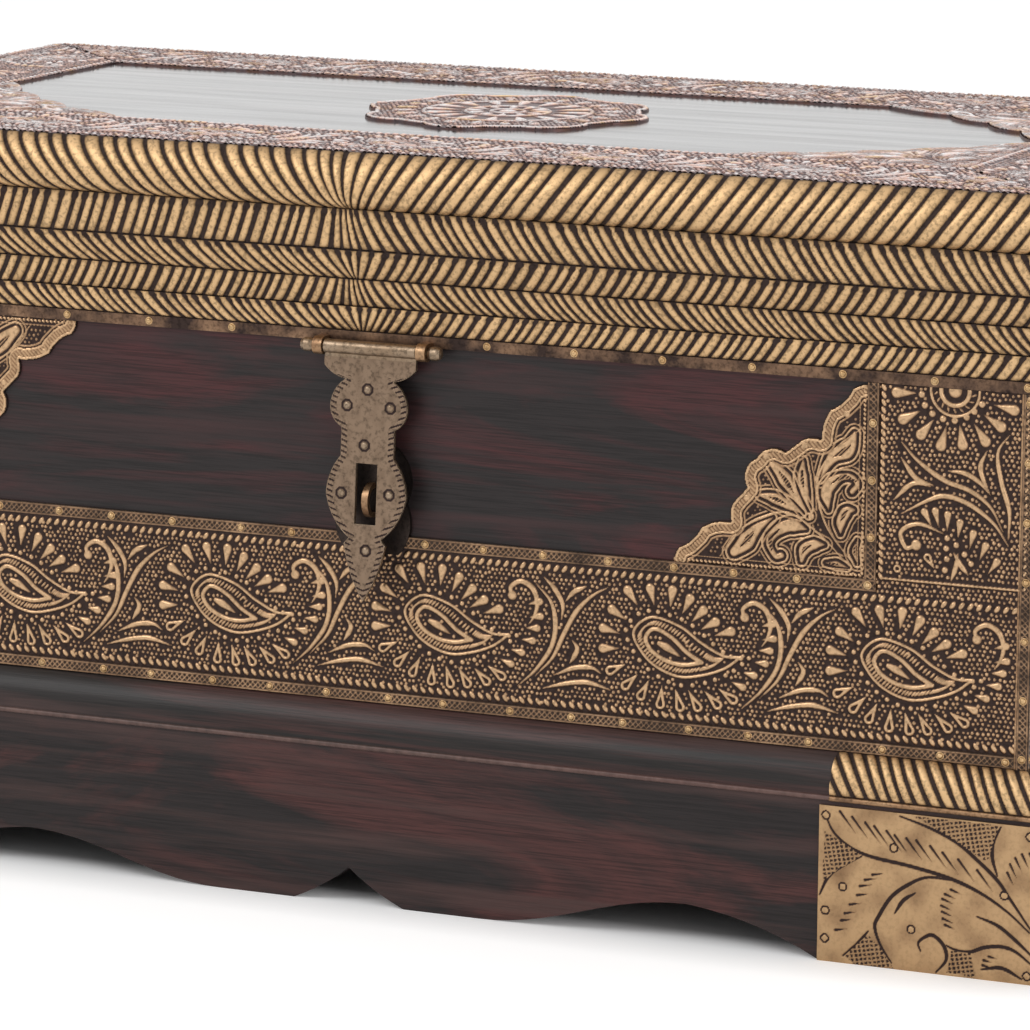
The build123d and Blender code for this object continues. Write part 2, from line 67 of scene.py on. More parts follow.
# Relief
LIFT = 0.06  # the relief's ground stands this far off the sheet below it
FINE = 0.62
MEDIUM = 1.0
COARSE = 1.15
CLEARING = 1.25  # kept free of small beads round each figure
BEAD_RADIUS = 1.05
BEAD_PITCH = 3.05
RELIEF_HEIGHT = 1.3
STRIP_RISE = 0.6
FOOT_RISE = 0.55
HASP_RISE = 0.3
FAR = 1e3

OUTWARD = {
    "front": np.array((0.0, -1.0, 0.0)),
    "right": np.array((1.0, 0.0, 0.0)),
    "back": np.array((0.0, 1.0, 0.0)),
    "left": np.array((-1.0, 0.0, 0.0)),
}
RIGHT = np.array((1.0, 0.0, 0.0))
UP = np.array((0.0, 0.0, 1.0))
ENDS = ((-1, "left"), (1, "right"))


def across(halves, side):
    """Half the length of a side, and how far its face is from the middle."""
    return halves if side in ("front", "back") else halves[::-1]


# Materials


class Tree:
    """A node tree with short ways to add to it; a value is a number, a colour or a socket."""

    def __init__(self, owner):
        owner.use_nodes = True
        self.nodes, self.links = owner.node_tree.nodes, owner.node_tree.links

    def feed(self, value, socket):
        if isinstance(value, bpy.types.NodeSocket):
            self.links.new(value, socket)
        elif isinstance(value, tuple):
            socket.default_value = (*value, 1)
        else:
            socket.default_value = value

    def here(self):
        """The point's place in the object's own coordinates."""
        return self.nodes.new("ShaderNodeTexCoord").outputs["Object"]

    def axes(self):
        """The same place as its X, Y and Z."""
        node = self.nodes.new("ShaderNodeSeparateXYZ")
        self.links.new(self.here(), node.inputs[0])
        return node.outputs

    def math(self, operation, *values):
        node = self.nodes.new("ShaderNodeMath")
        node.operation = operation
        for value, socket in zip(values, node.inputs):
            self.feed(value, socket)
        return node.outputs[0]

    def spread(self, value, source, target=(0.0, 1.0)):
        """Maps a value from one range to another."""
        node = self.nodes.new("ShaderNodeMapRange")
        for name, number in zip(("From Min", "From Max", "To Min", "To Max"), (*source, *target)):
            node.inputs[name].default_value = number
        self.links.new(value, node.inputs["Value"])
        return node.outputs["Result"]

    def ramp(self, value, stops):
        """Colours a value by the given (place, colour) stops."""
        node = self.nodes.new("ShaderNodeValToRGB")
        elements = node.color_ramp.elements
        elements[0].position, elements[0].color = stops[0][0], (*stops[0][1], 1)
        elements[1].position, elements[1].color = stops[-1][0], (*stops[-1][1], 1)
        for place, colour in stops[1:-1]:
            elements.new(place).color = (*colour, 1)
        self.links.new(value, node.inputs["Fac"])
        return node.outputs["Color"]

    def noise(self, scale, detail=3.0, roughness=0.6, stretch=(1.0, 1.0, 1.0), distortion=0.0):
        """Noise in the object's own coordinates; scale is in cells per metre."""
        mapping = self.nodes.new("ShaderNodeMapping")
        mapping.inputs["Scale"].default_value = stretch
        self.links.new(self.here(), mapping.inputs["Vector"])
        node = self.nodes.new("ShaderNodeTexNoise")
        numbers = (scale, detail, roughness, distortion)
        for name, number in zip(("Scale", "Detail", "Roughness", "Distortion"), numbers):
            node.inputs[name].default_value = number
        self.links.new(mapping.outputs["Vector"], node.inputs["Vector"])
        return node.outputs["Fac"]

    def mix(self, kind, factor, first, second):
        """Mixes two colours."""
        node = self.nodes.new("ShaderNodeMix")
        node.data_type = "RGBA"
        node.blend_type = kind
        for value, number in zip((factor, first, second), (0, 6, 7)):
            self.feed(value, node.inputs[number])
        return node.outputs[2]


class Look(Tree):
    """A material with a Principled shader."""

    def __init__(self, name):
        self.material = bpy.data.materials.new(name)
        super().__init__(self.material)
        self.inputs = self.nodes["Principled BSDF"].inputs

    def set(self, values):
        for name, value in values.items():
            self.feed(value, self.inputs[name])

    def bump(self, height, strength, distance):
        """Adds a bump from a height; distance is in metres."""
        node = self.nodes.new("ShaderNodeBump")
        node.inputs["Strength"].default_value = strength
        node.inputs["Distance"].default_value = distance
        self.links.new(height, node.inputs["Height"])
        self.links.new(node.outputs["Normal"], self.inputs["Normal"])


# Cells of noise per metre, and how far wear moves the relief's colour up and down
CLOUDS = 38.0
TINTS = 70.0
HAZE = 70.0
POLISH = 60.0
BEAD_PATCHES = 240.0
SPECKS = 420.0
PORES = 900.0
WEAR = 0.34
WHITE = (1, 1, 1)
BLACK = (0, 0, 0)


def worn_brass(name, hollow, flank, crest, spots=0.3, rough=(0.5, 0.32), level=None, tints=None):
    """Brass whose colour follows the relief: patina in the hollows, rubbed metal on the crests.

    With a level, the metal is plain and has that one height. Tints colour it in patches.
    """
    look = Look(name)
    cloud = look.noise(CLOUDS, 5.0, 0.65)
    if level is None:
        relief = look.nodes.new("ShaderNodeAttribute")
        relief.attribute_name = "relief"
        swayed = look.math("MULTIPLY_ADD", cloud, WEAR, relief.outputs["Fac"])
        height = look.math("SUBTRACT", swayed, WEAR / 2)
    else:
        height = look.spread(cloud, (0.3, 0.7), (level - 0.25, level + 0.2))
    tone = look.ramp(height, ((0.0, hollow), (0.16, hollow), (0.42, flank), (0.8, crest)))
    dark = (1 - spots, 1 - spots, 1 - spots)
    speck = look.ramp(look.noise(SPECKS), ((0.36, dark), (0.52, WHITE)))
    colour = look.mix("MULTIPLY", 1.0, tone, speck)
    if tints:
        colour = look.mix("MULTIPLY", 1.0, colour, look.ramp(look.noise(TINTS), tints))
    look.set({"Base Color": colour, "Metallic": 0.9, "Roughness": look.spread(height, (0.1, 0.8), rough)})
    look.bump(look.noise(PORES), 0.25, 0.0003)
    return look


def dark_wood(name, along, base, streak, pale, shine, grain=1.0, coat=0.0, figure=(26.0, 0.07)):
    """Dark hardwood with its grain along one axis: wide streaks, fine pores and a soft sheen.

    figure is the streaks' scale and how much they are stretched along the grain.
    """
    look = Look(name)

    def drawn_out(share):
        return [share if axis == along else 1.0 for axis in "xyz"]

    streaks = look.noise(figure[0], 6.0, 0.6, drawn_out(figure[1]), 0.8)
    tone = look.ramp(streaks, ((0.3, streak), (0.42, base), (0.5, base), (0.6, streak), (0.78, base)))
    pores = look.noise(PORES, 3.0, 0.7, drawn_out(0.025))
    pitted = look.ramp(pores, ((0.38, (0.35, 0.33, 0.33)), (0.56, WHITE)))
    haze = look.ramp(look.noise(HAZE, 4.0, 0.6, drawn_out(0.05)), ((0.5, BLACK), (0.72, WHITE)))
    veined = look.mix("MULTIPLY", 0.8, tone, pitted)
    look.set({"Base Color": look.mix("MIX", haze, veined, pale), "Roughness": shine,
              "Specular IOR Level": 0.28, "Coat Weight": coat, "Coat Roughness": 0.12})
    look.bump(pores, 0.35 * grain, 0.0004)
    return look


HOLLOW = (0.042, 0.027, 0.023)
FLANK = (0.285, 0.165, 0.09)
CREST = (0.57, 0.37, 0.21)
TOP_TINTS = ((0.3, (1.0, 0.80, 0.52)), (0.45, (1.0, 0.78, 0.72)), (0.58, (0.90, 0.95, 1.0)),
             (0.7, (1.0, 0.76, 0.68)))
EMBOSSED = worn_brass("embossed_brass", HOLLOW, FLANK, CREST)
FLUTED = worn_brass("fluted_brass", (0.045, 0.03, 0.026), (0.32, 0.2, 0.098), (0.65, 0.43, 0.225),
                    0.42, (0.62, 0.5))
STRIP_BRASS = worn_brass("strip_brass", (0.05, 0.034, 0.026), (0.26, 0.155, 0.09), (0.58, 0.38, 0.22), 0.4)
PLATE_BRASS = worn_brass("plate_brass", (0.035, 0.022, 0.02), (0.26, 0.155, 0.082),
                         (0.46, 0.295, 0.155), 0.14)
TOP_BRASS = worn_brass("top_brass", (0.17, 0.12, 0.12), (0.58, 0.44, 0.40), (1.0, 0.93, 0.88),
                       0.25, (0.4, 0.22), tints=TOP_TINTS)
PLAIN_BRASS = worn_brass("plain_brass", HOLLOW, FLANK, CREST, 0.4, level=0.5)
DULL_BRASS = worn_brass("aged_brass", (0.10, 0.06, 0.035), (0.24, 0.165, 0.105), (0.36, 0.27, 0.19),
                        0.45, level=0.6)
HASP_BRASS = worn_brass("hasp_brass", (0.035, 0.022, 0.02), (0.135, 0.09, 0.06), (0.24, 0.165, 0.112), 0.4)
EDGE_BRASS = worn_brass("edge_brass", HOLLOW, (0.22, 0.13, 0.08), CREST, 0.4, level=0.3)
# Near-black brass for the hasp's back plate: aged metal, darkened further as painted shade from the hasp
# hanging in front of it
AGED_AND_SHADED = worn_brass("aged_and_shaded_brass", (0.02, 0.015, 0.014), (0.05, 0.036, 0.03), (0.12, 0.085, 0.06),
                       0.4, level=0.35)
STUD_BRASS = worn_brass("stud_brass", FLANK, (0.45, 0.28, 0.13), (0.66, 0.45, 0.24), 0.35, level=0.6)
HINGE_METAL = worn_brass("hinge_metal", (0.08, 0.07, 0.065), (0.22, 0.2, 0.19), (0.4, 0.38, 0.36),
                         0.3, level=0.5)

GREEN_BLACK = (0.022, 0.017, 0.017)
RED_BROWN = (0.072, 0.021, 0.022)
DUSTY = (0.075, 0.042, 0.038)
# Lighter brown painted in patches along the moulding's lower bead
BEAD_LIGHTER = (0.22, 0.13, 0.11)
ROSEWOOD = {axis: dark_wood(f"rosewood_{axis}", axis, GREEN_BLACK, RED_BROWN, (0.05, 0.024, 0.024),
                            0.42, figure=(20.0, 0.14)) for axis in "xyz"}
PLINTH_WOOD = {axis: dark_wood(f"plinth_wood_{axis}", axis, (0.020, 0.015, 0.015), (0.088, 0.032, 0.029),
                               DUSTY, 0.5, 2.4, figure=(13.0, 0.26)) for axis in "xyz"}
TOP_WOOD = dark_wood("polished_wood_x", "x", (0.045, 0.04, 0.038), (0.07, 0.05, 0.045),
                     (0.06, 0.055, 0.05), 0.2, 0.2)
polish = TOP_WOOD.noise(POLISH, 5.0, 0.65, (0.06, 1.0, 1.0))
TOP_WOOD.set({"Coat Weight": TOP_WOOD.spread(polish, (0.3, 0.6), (0.42, 0.78))})


def moulding_wood(along):
    """Plinth moulding: dark wood whose lower bead is painted a lighter brown in patches."""
    look = dark_wood(f"moulding_wood_{along}", along, (0.018, 0.014, 0.013), (0.065, 0.027, 0.024),
                     DUSTY, 0.4, coat=0.03)
    wood = look.inputs["Base Color"].links[0].from_socket
    # The lower bead is painted a lighter brown, in noise patches
    low = look.spread(look.axes()["Z"], ((APRON_TOP + 3.6) * MM, (APRON_TOP + 2.6) * MM))
    share = look.math("MULTIPLY", low, look.noise(BEAD_PATCHES))
    look.set({"Base Color": look.mix("MIX", share, wood, BEAD_LIGHTER)})
    return look


def dress(look, *nodes):
    """Gives CAD nodes a material."""
    for node in nodes:
        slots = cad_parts[node].material_slots
        for slot in slots:
            slot.material = look.material
        if not slots:
            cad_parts[node].data.materials.append(look.material)


MOULDING = {along: moulding_wood(along) for along in "xy"}
for side, along in (("front", "x"), ("back", "x"), ("left", "y"), ("right", "y")):
    dress(PLINTH_WOOD[along], f"apron_{side}")
    dress(ROSEWOOD[along], f"{side}_board", f"lid_rail_{side}")
    dress(MOULDING[along], f"plinth_moulding_{side}")
    dress(TOP_BRASS, f"top_border_{side}")
for corner in ("front_left", "front_right", "back_left", "back_right"):
    dress(PLAIN_BRASS, f"foot_plate_{corner}", f"moulding_cap_{corner}")
    if corner != "back_left":
        dress(TOP_BRASS, f"top_bracket_{corner}")
for side in ("front", "left", "right"):
    dress(EMBOSSED, f"{side}_band", f"lid_sheath_{side}")
dress(EMBOSSED, "end_panel_front_left", "end_panel_front_right", "left_end_panels", "right_end_panels",
      "bracket_lower_right", "bracket_upper_left")
dress(PLAIN_BRASS, "front_strips", "side_strips", "corner_angles", "hasp_eyes", "hasp_staple")
dress(PLINTH_WOOD["z"], "corner_blocks")
dress(ROSEWOOD["x"], "floor_board")
dress(TOP_WOOD, "lid_top_board")
dress(TOP_BRASS, "top_medallion")
dress(EDGE_BRASS, "lid_edge_strip")
dress(DULL_BRASS, "hasp_plate", "hasp_pin")
# The back plate's near-black colour is partly painted shade from the hasp
dress(AGED_AND_SHADED, "hasp_back_plate")
dress(HINGE_METAL, "hinge_lower_leaves", "hinge_upper_leaves", "hinge_pins")


# Relief: heights over a flat rectangle


def ridge(away, middle, reach):
    """A half-round ridge: 1 at the middle, 0 from the reach on."""
    return np.sqrt(np.clip(1 - ((away - middle) / reach) ** 2, 0, 1))


def curve_through(points, step=0.8):
    """Even points of a smooth curve through the given ones."""
    points = np.array(points, float)
    ends = np.vstack((2 * points[0] - points[1], points, 2 * points[-1] - points[-2]))
    pieces = []
    for a, b, c, d in zip(ends, ends[1:], ends[2:], ends[3:]):
        count = max(2, int(ceil(np.linalg.norm(c - b) / step)))
        t = np.linspace(0, 1, count, endpoint=False)[:, None]
        bend = (2 * a - 5 * b + 4 * c - d) + t * (3 * b - 3 * c + d - a)
        pieces.append(b + 0.5 * t * ((c - a) + t * bend))
    return np.vstack((*pieces, points[-1:]))


class Relief:
    """Heights over a flat rectangle whose lower left corner is the origin."""

    def __init__(self, width, height, pitch):
        self.x = np.linspace(0, width, int(ceil(width / pitch)) + 1)
        self.y = np.linspace(0, height, int(ceil(height / pitch)) + 1)
        self.height = np.zeros((len(self.y), len(self.x)))
        self.taken = np.zeros(self.height.shape, bool)

    def grid(self):
        return np.meshgrid(self.x, self.y)

    def window(self, low, high):
        """The part of the grid between two corners, and the x and y of its points."""
        a, b = np.searchsorted(self.x, (low[0], high[0]))
        c, d = np.searchsorted(self.y, (low[1], high[1]))
        return np.s_[c:d, a:b], self.x[a:b][None, :], self.y[c:d][:, None]

    def around(self, x, y, reach):
        """The part of the grid near a point, and how far its points are from it."""
        part, gx, gy = self.window((x - reach, y - reach), (x + reach, y + reach))
        return part, np.hypot(gx - x, gy - y)

    def put(self, part, raised, covered):
        self.height[part] = np.maximum(self.height[part], raised)
        self.taken[part] |= covered

    def bead(self, x, y, radius, height=1.0):
        reach = radius + CLEARING
        part, away = self.around(x, y, reach)
        self.put(part, height * ridge(away, 0.0, radius), away < reach)

    def ring(self, x, y, radius, width, height=0.9):
        part, away = self.around(x, y, radius + width + CLEARING)
        self.put(part, height * ridge(away, radius, width / 2), away < radius + width + 0.5)

    def grain(self, x, y, angle, length, width, height=1.0):
        """One rice-shaped bead."""
        part, gx, gy = self.window((x - length, y - length), (x + length, y + length))
        along = (gx - x) * cos(angle) + (gy - y) * sin(angle)
        off = (gy - y) * cos(angle) - (gx - x) * sin(angle)
        ratio = (2 * along / length) ** 2 + (2 * off / width) ** 2
        self.put(part, height * np.sqrt(np.clip(1 - ratio, 0, 1)), ratio < 2.2)

    def gap(self, points, radii, reach):
        """Distance from each grid point to a band along a curve; negative inside the band."""
        line = curve_through(points)
        share = np.linspace(0, 1, len(line))
        radius = np.interp(share, np.linspace(0, 1, len(radii)), radii)
        margin = max(radii) + reach
        part, gx, gy = self.window(line.min(axis=0) - margin, line.max(axis=0) + margin)
        nearest = np.full(np.broadcast_shapes(gx.shape, gy.shape), FAR)
        for (px, py), r in zip(line, radius):
            np.minimum(nearest, np.hypot(gx - px, gy - py) - r, out=nearest)
        return part, nearest

    def stroke(self, points, width, height=1.0, taper=(0.25, 1.0, 0.9, 0.25)):
        """A rounded ridge along a curve, narrowing as taper says."""
        part, gap = self.gap(points, [width / 2 * t for t in taper], CLEARING)
        depth = np.clip(-gap / (width / 2), 0, 1)
        self.put(part, height * np.sqrt(1 - (1 - depth) ** 2), gap < CLEARING)

    def drop(self, x, y, angle, length, radius, hollow=False):
        """A teardrop with its round end at a point and its tail along the angle."""
        tail = (x + length * cos(angle), y + length * sin(angle))
        middle = (x + 0.45 * length * cos(angle), y + 0.45 * length * sin(angle))
        part, gap = self.gap(((x, y), middle, tail), (radius, 0.55 * radius, 0.25), CLEARING)
        depth = np.clip(-gap / radius, 0, 1)
        raised = ridge(depth, 0.3, 0.3) * (gap < 0) if hollow else np.clip(2.2 * depth, 0, 1) ** 0.6
        self.put(part, raised, gap < CLEARING)

    def blade(self, points, radii):
        """A flat-topped leaf with thin outlines round it and a dark hatched core."""
        part, gap = self.gap(points, radii, 5.6)
        leaf = 0.78 * np.clip(-gap / 1.2, 0, 1) ** 0.6
        near = 0.8 * ridge(gap, 2.0, 0.7)
        far = 0.62 * ridge(gap, 4.2, 0.6) * ~self.taken[part]
        self.put(part, np.maximum.reduce((leaf, near, far)), gap < 5.2)
        line = curve_through(points)
        spine = [line[int(share * len(line))] for share in (0.42, 0.62, 0.8)]
        part, core = self.gap(spine, (0.4, 0.34 * max(radii), 0.5), 0)
        gx, gy = self.x[part[1]][None, :], self.y[part[0]][:, None]
        hatch = np.where(np.sin(2 * pi * (gx + gy) / 2.4) > 0.2, 0.5, 0.08)
        self.height[part] = np.where(core < 0, hatch, self.height[part])

    def engrave(self, points, width, depth=1.0, taper=(0.5, 1.0, 1.0, 0.5)):
        """A dark furrow along a curve."""
        part, gap = self.gap(points, [width / 2 * t for t in taper], 1.0)
        furrow = np.clip(0.5 - gap / 0.6, 0, 1) * depth
        self.height[part] = np.minimum(self.height[part], 1 - furrow)

    def rope(self, start, end, lean, pitch=5.3, length=5.4, width=2.9):
        """A row of rice-shaped beads that lean by an angle in degrees."""
        run_x, run_y = end[0] - start[0], end[1] - start[1]
        count = max(1, int(hypot(run_x, run_y) / pitch))
        for n in range(count):
            share = (n + 0.5) / count
            self.grain(start[0] + share * run_x, start[1] + share * run_y, radians(lean), length, width)

    def ground(self, seed, pitch=BEAD_PITCH, radius=BEAD_RADIUS, height=0.72):
        """Small punched beads wherever no figure stands."""
        draw = np.random.default_rng(seed)
        taken = self.taken.copy()
        row_pitch, stray = 0.87 * pitch, 0.16 * pitch
        for row in range(int(self.y[-1] / row_pitch) + 1):
            for column in range(int(self.x[-1] / pitch) + 1):
                shift_x, shift_y, size = draw.uniform(-1, 1, 3)
                x = (column + 0.5 * (row % 2)) * pitch + stray * shift_x
                y = row * row_pitch + stray * shift_y
                i, j = np.searchsorted(self.y, y), np.searchsorted(self.x, x)
                if i < taken.shape[0] and j < taken.shape[1] and not taken[i, j]:
                    self.bead(x, y, radius * (1 + 0.14 * size), height * (1 + 0.15 * size))

    def inside(self, outline):
        """Which grid points are inside a closed outline."""
        found = np.zeros(self.height.shape, bool)
        gx, gy = self.x[None, :], self.y[:, None]
        for (ax, ay), (bx, by) in zip(outline, outline[1:] + outline[:1]):
            if ay != by:
                found ^= ((ay > gy) != (by > gy)) & (gx < (bx - ax) * (gy - ay) / (by - ay) + ax)
        return found


# Meshes


def add_mesh(name, points, faces, look, body, relief):
    """Makes a piece from points in millimetres and quads or triangles, and lets it ride."""
    mesh = bpy.data.meshes.new(name)
    mesh.vertices.add(len(points))
    mesh.vertices.foreach_set("co", (np.asarray(points) * MM).astype(np.float32).ravel())
    mesh.loops.add(faces.size)
    mesh.loops.foreach_set("vertex_index", faces.astype(np.int32).ravel())
    mesh.polygons.add(len(faces))
    mesh.polygons.foreach_set("loop_start", np.arange(0, faces.size, faces.shape[1], dtype=np.int32))
    mesh.update(calc_edges=True)
    attribute = mesh.attributes.new("relief", "FLOAT", "POINT")
    attribute.data.foreach_set("value", relief.astype(np.float32).ravel())
    mesh.shade_smooth()
    mesh.materials.append(look.material)
    piece = bpy.data.objects.new(name, mesh)
    bpy.context.scene.collection.objects.link(piece)
    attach(piece, body)


def add_grid(name, points, relief, look, body, keep=None):
    """Makes a piece from rows of points; keep says which points belong to it."""
    index = np.arange(relief.size).reshape(relief.shape)
    quads = np.stack((index[:-1, :-1], index[:-1, 1:], index[1:, 1:], index[1:, :-1]), axis=-1)
    if keep is not None:
        quads = quads[keep[:-1, :-1] & keep[:-1, 1:] & keep[1:, 1:] & keep[1:, :-1]]
    used, faces = np.unique(quads.reshape(-1, 4), return_inverse=True)
    points, heights = points.reshape(-1, 3)[used], relief.ravel()[used]
    add_mesh(name, points, faces.reshape(-1, 4), look, body, heights)


def side_by_side(columns, pieces):
    """Cuts a grid's columns into parts that share their edge columns: (number, part)."""
    edges = np.linspace(0, columns - 1, pieces + 1).astype(int)
    return [(n + 1, np.s_[:, a:b + 1]) for n, (a, b) in enumerate(zip(edges, edges[1:]))]


def upright(side, out, x0, z0, x_sign=1, z_sign=1):
    """Places relief on an upright side: x runs to the viewer's right and y up, unless a sign is -1."""
    way = OUTWARD[side]
    right = np.cross(UP, way)

    def place(x, y, rise):
        points = (x0 + x_sign * x)[..., None] * right + (z0 + z_sign * y)[..., None] * UP
        return points + (out + LIFT + rise)[..., None] * way

    return place


def post(side, out, x0, z0):
    """Places a strip's relief on end on an upright side, its middle line going up from a point."""
    flat = upright(side, out, x0, z0)
    return lambda x, y, rise: flat(STRIP / 2 - y, x, rise)


def add_relief(name, relief, place, look, body="carcass", keep=None,
               rise=RELIEF_HEIGHT, pieces=1, flip=False):
    """Makes a relief into one or more pieces side by side; flip turns the faces of a mirrored one."""
    gx, gy = relief.grid()
    points, heights = place(gx, gy, rise * relief.height), relief.height
    if flip:
        points, heights = points[:, ::-1], heights[:, ::-1]
        keep = None if keep is None else keep[:, ::-1]
    for number, part in side_by_side(heights.shape[1], pieces):
        label = name if pieces == 1 else f"{name}_{number}"
        add_grid(label, points[part], heights[part], look, body, None if keep is None else keep[part])


STUD_TURNS = 16
STUD_COLLAR = ((1.42, 0.0), (1.38, 0.2), (1.12, 0.22), (1.03, 0.1))  # shares of radius and height
COLLAR_TONE = 0.2


def studs(name, places, way, radius, height, look, body="carcass", collar=True):
    """Domed nails at the given points, standing along a direction, with or without a thin collar."""
    way = np.array(way, float) / np.linalg.norm(way)
    side = np.cross(way, UP)
    side /= np.linalg.norm(side)
    other = np.cross(way, side)
    outline = [(cos(a), 0.25 + 0.75 * sin(a), 1.0) for a in np.linspace(0, pi / 2 - 0.25, 5)]
    if collar:
        lip = STUD_COLLAR[-1]
        outline = [(*ring, COLLAR_TONE if ring == lip else 1.0) for ring in STUD_COLLAR] + outline
    angles = np.linspace(0, 2 * pi, STUD_TURNS, endpoint=False)
    circle = np.cos(angles)[:, None] * side + np.sin(angles)[:, None] * other
    around = [(k, (k + 1) % STUD_TURNS) for k in range(STUD_TURNS)]
    points, faces, heights = [], [], []
    for place in places:
        for level, (wide, high, tone) in enumerate(outline):
            base = len(points)
            points.extend(np.array(place) + wide * radius * circle + high * height * way)
            heights.extend([tone] * STUD_TURNS)
            above = base + STUD_TURNS
            for a, b in around:
                if level < len(outline) - 1:
                    faces.append((base + a, base + b, above + b))
                    faces.append((base + a, above + b, above + a))
                else:
                    faces.append((base + a, base + b, above))
        points.append(np.array(place) + height * way)
        heights.append(1.0)
    faces = np.array(faces)[:, ::-1]
    add_mesh(name, np.array(points), faces, look, body, np.array(heights))


# Motifs


WREATH_BEADS = 27


def paisley(relief, x, y, scale=1.0):
    """The band's repeating figure: a curled drop in a wreath of teardrops, with fronds at its left."""

    def spot(px, py):
        return x + scale * px, y + scale * py

    def at(points):
        return [spot(px, py) for px, py in points]

    def closed(points):
        return at(points + points[:1])

    outer = [(35, -2), (24.6, -2.3), (10.8, 3.9), (-3, 12.6), (-21, 16.5), (-32, 7), (-26.5, -4.8),
             (-16.8, -12.7), (-3, -17), (10.8, -15), (24.6, -9.8)]
    inner = [(10.8, -7.4), (1.1, -2.1), (-8.5, 5.8), (-18.9, 9.8), (-24.4, 4.2), (-20.9, -3), (-11.3, -8.3),
             (-0.2, -9.8)]
    relief.stroke(closed(outer), 1.9 * scale, 0.9, (1, 1))
    relief.stroke(closed(inner), 2.8 * scale, 1.0, (1, 1))
    relief.stroke(at(((-16, 1.5), (-11, -0.5), (-3, -5))), 5.0 * scale, 1.0, (0.6, 1.0, 0.7, 0.2))

    outer_line, inner_line = curve_through(outer + outer[:1]), curve_through(inner + inner[:1])
    for n in range(0, len(outer_line), 3):
        px, py = outer_line[n]
        away = np.hypot(*(inner_line - (px, py)).T)
        qx, qy = inner_line[away.argmin()]
        if away.min() > 4.2:
            length = min(4.8, away.min() - 1.2) * scale
            relief.grain(*spot(0.5 * (px + qx), 0.5 * (py + qy)), pi / 4, length, 1.5 * scale, 0.8)

    centre = outer_line.mean(axis=0)
    for n in range(WREATH_BEADS):
        way = outer_line[int(n * len(outer_line) / WREATH_BEADS)] - centre
        relief.bead(*spot(*(centre + (1 + 5.0 / hypot(*way)) * way)), 1.55 * scale, 0.95)

    solid = ((-36, 31), (-22, 33.5), (-8, 33.6), (3, 29.6), (11.5, 23.5), (19, 17.3), (28.7, 12.6),
             (58.4, 19.3), (59, 10.6), (57, 3.4), (54.3, -4.4), (47.4, -12), (40.5, -19.6), (-51.3, 7.3),
             (-45.8, 18.8), (-51.3, -4.7))
    open_ones = ((30.8, -27.5), (21, -31.4), (8.7, -34), (-2.3, -35), (-14.7, -34.5), (-27, -30.7),
                 (-36.8, -25.6), (-46.5, -17.5))
    for group, hollow in ((solid, False), (open_ones, True)):
        for px, py in group:
            far_side = px > 38
            aim = atan2(-1.0 - py, -12.0 - px)
            inward, length, radius = (4.0, 7.5, 2.5) if far_side else (0.0, 11.0, 3.1)
            relief.drop(*spot(px - inward, py), aim, length * scale, radius * scale, hollow)

    relief.bead(*spot(37, 21.6), 3.0 * scale)
    relief.stroke(at(((37, 21.6), (36, 26.6), (42.6, 30.4), (50, 26.7), (53, 18.2), (51, 10.3), (48, 5.6))),
                  3.7 * scale, 1.0, (0.7, 0.9, 1.0, 0.8, 0.3))
    for points in (
        ((-105, -32), (-93.5, -21), (-84, -7), (-81.5, 7), (-84.5, 20), (-94, 30)),
        ((-94, -25), (-83, -13), (-76, 1.7), (-68, 16), (-58, 26), (-48.5, 31.5)),
        ((-77.5, 10), (-77, 19), (-82, 27.6), (-88.6, 34)),
        ((-75, 21), (-70, 27), (-62, 31)),
        ((-82, -23.5), (-69, -18), (-58, -17), (-52, -20)),
        ((-89, -32), (-75, -28), (-61, -26), (-46, -29)),
        ((-70.6, -1.6), (-67.5, -7), (-72, -15.5)),
    ):
        relief.stroke(at(points), 3.5 * scale, 1.0, (0.25, 0.9, 1.0, 0.25))



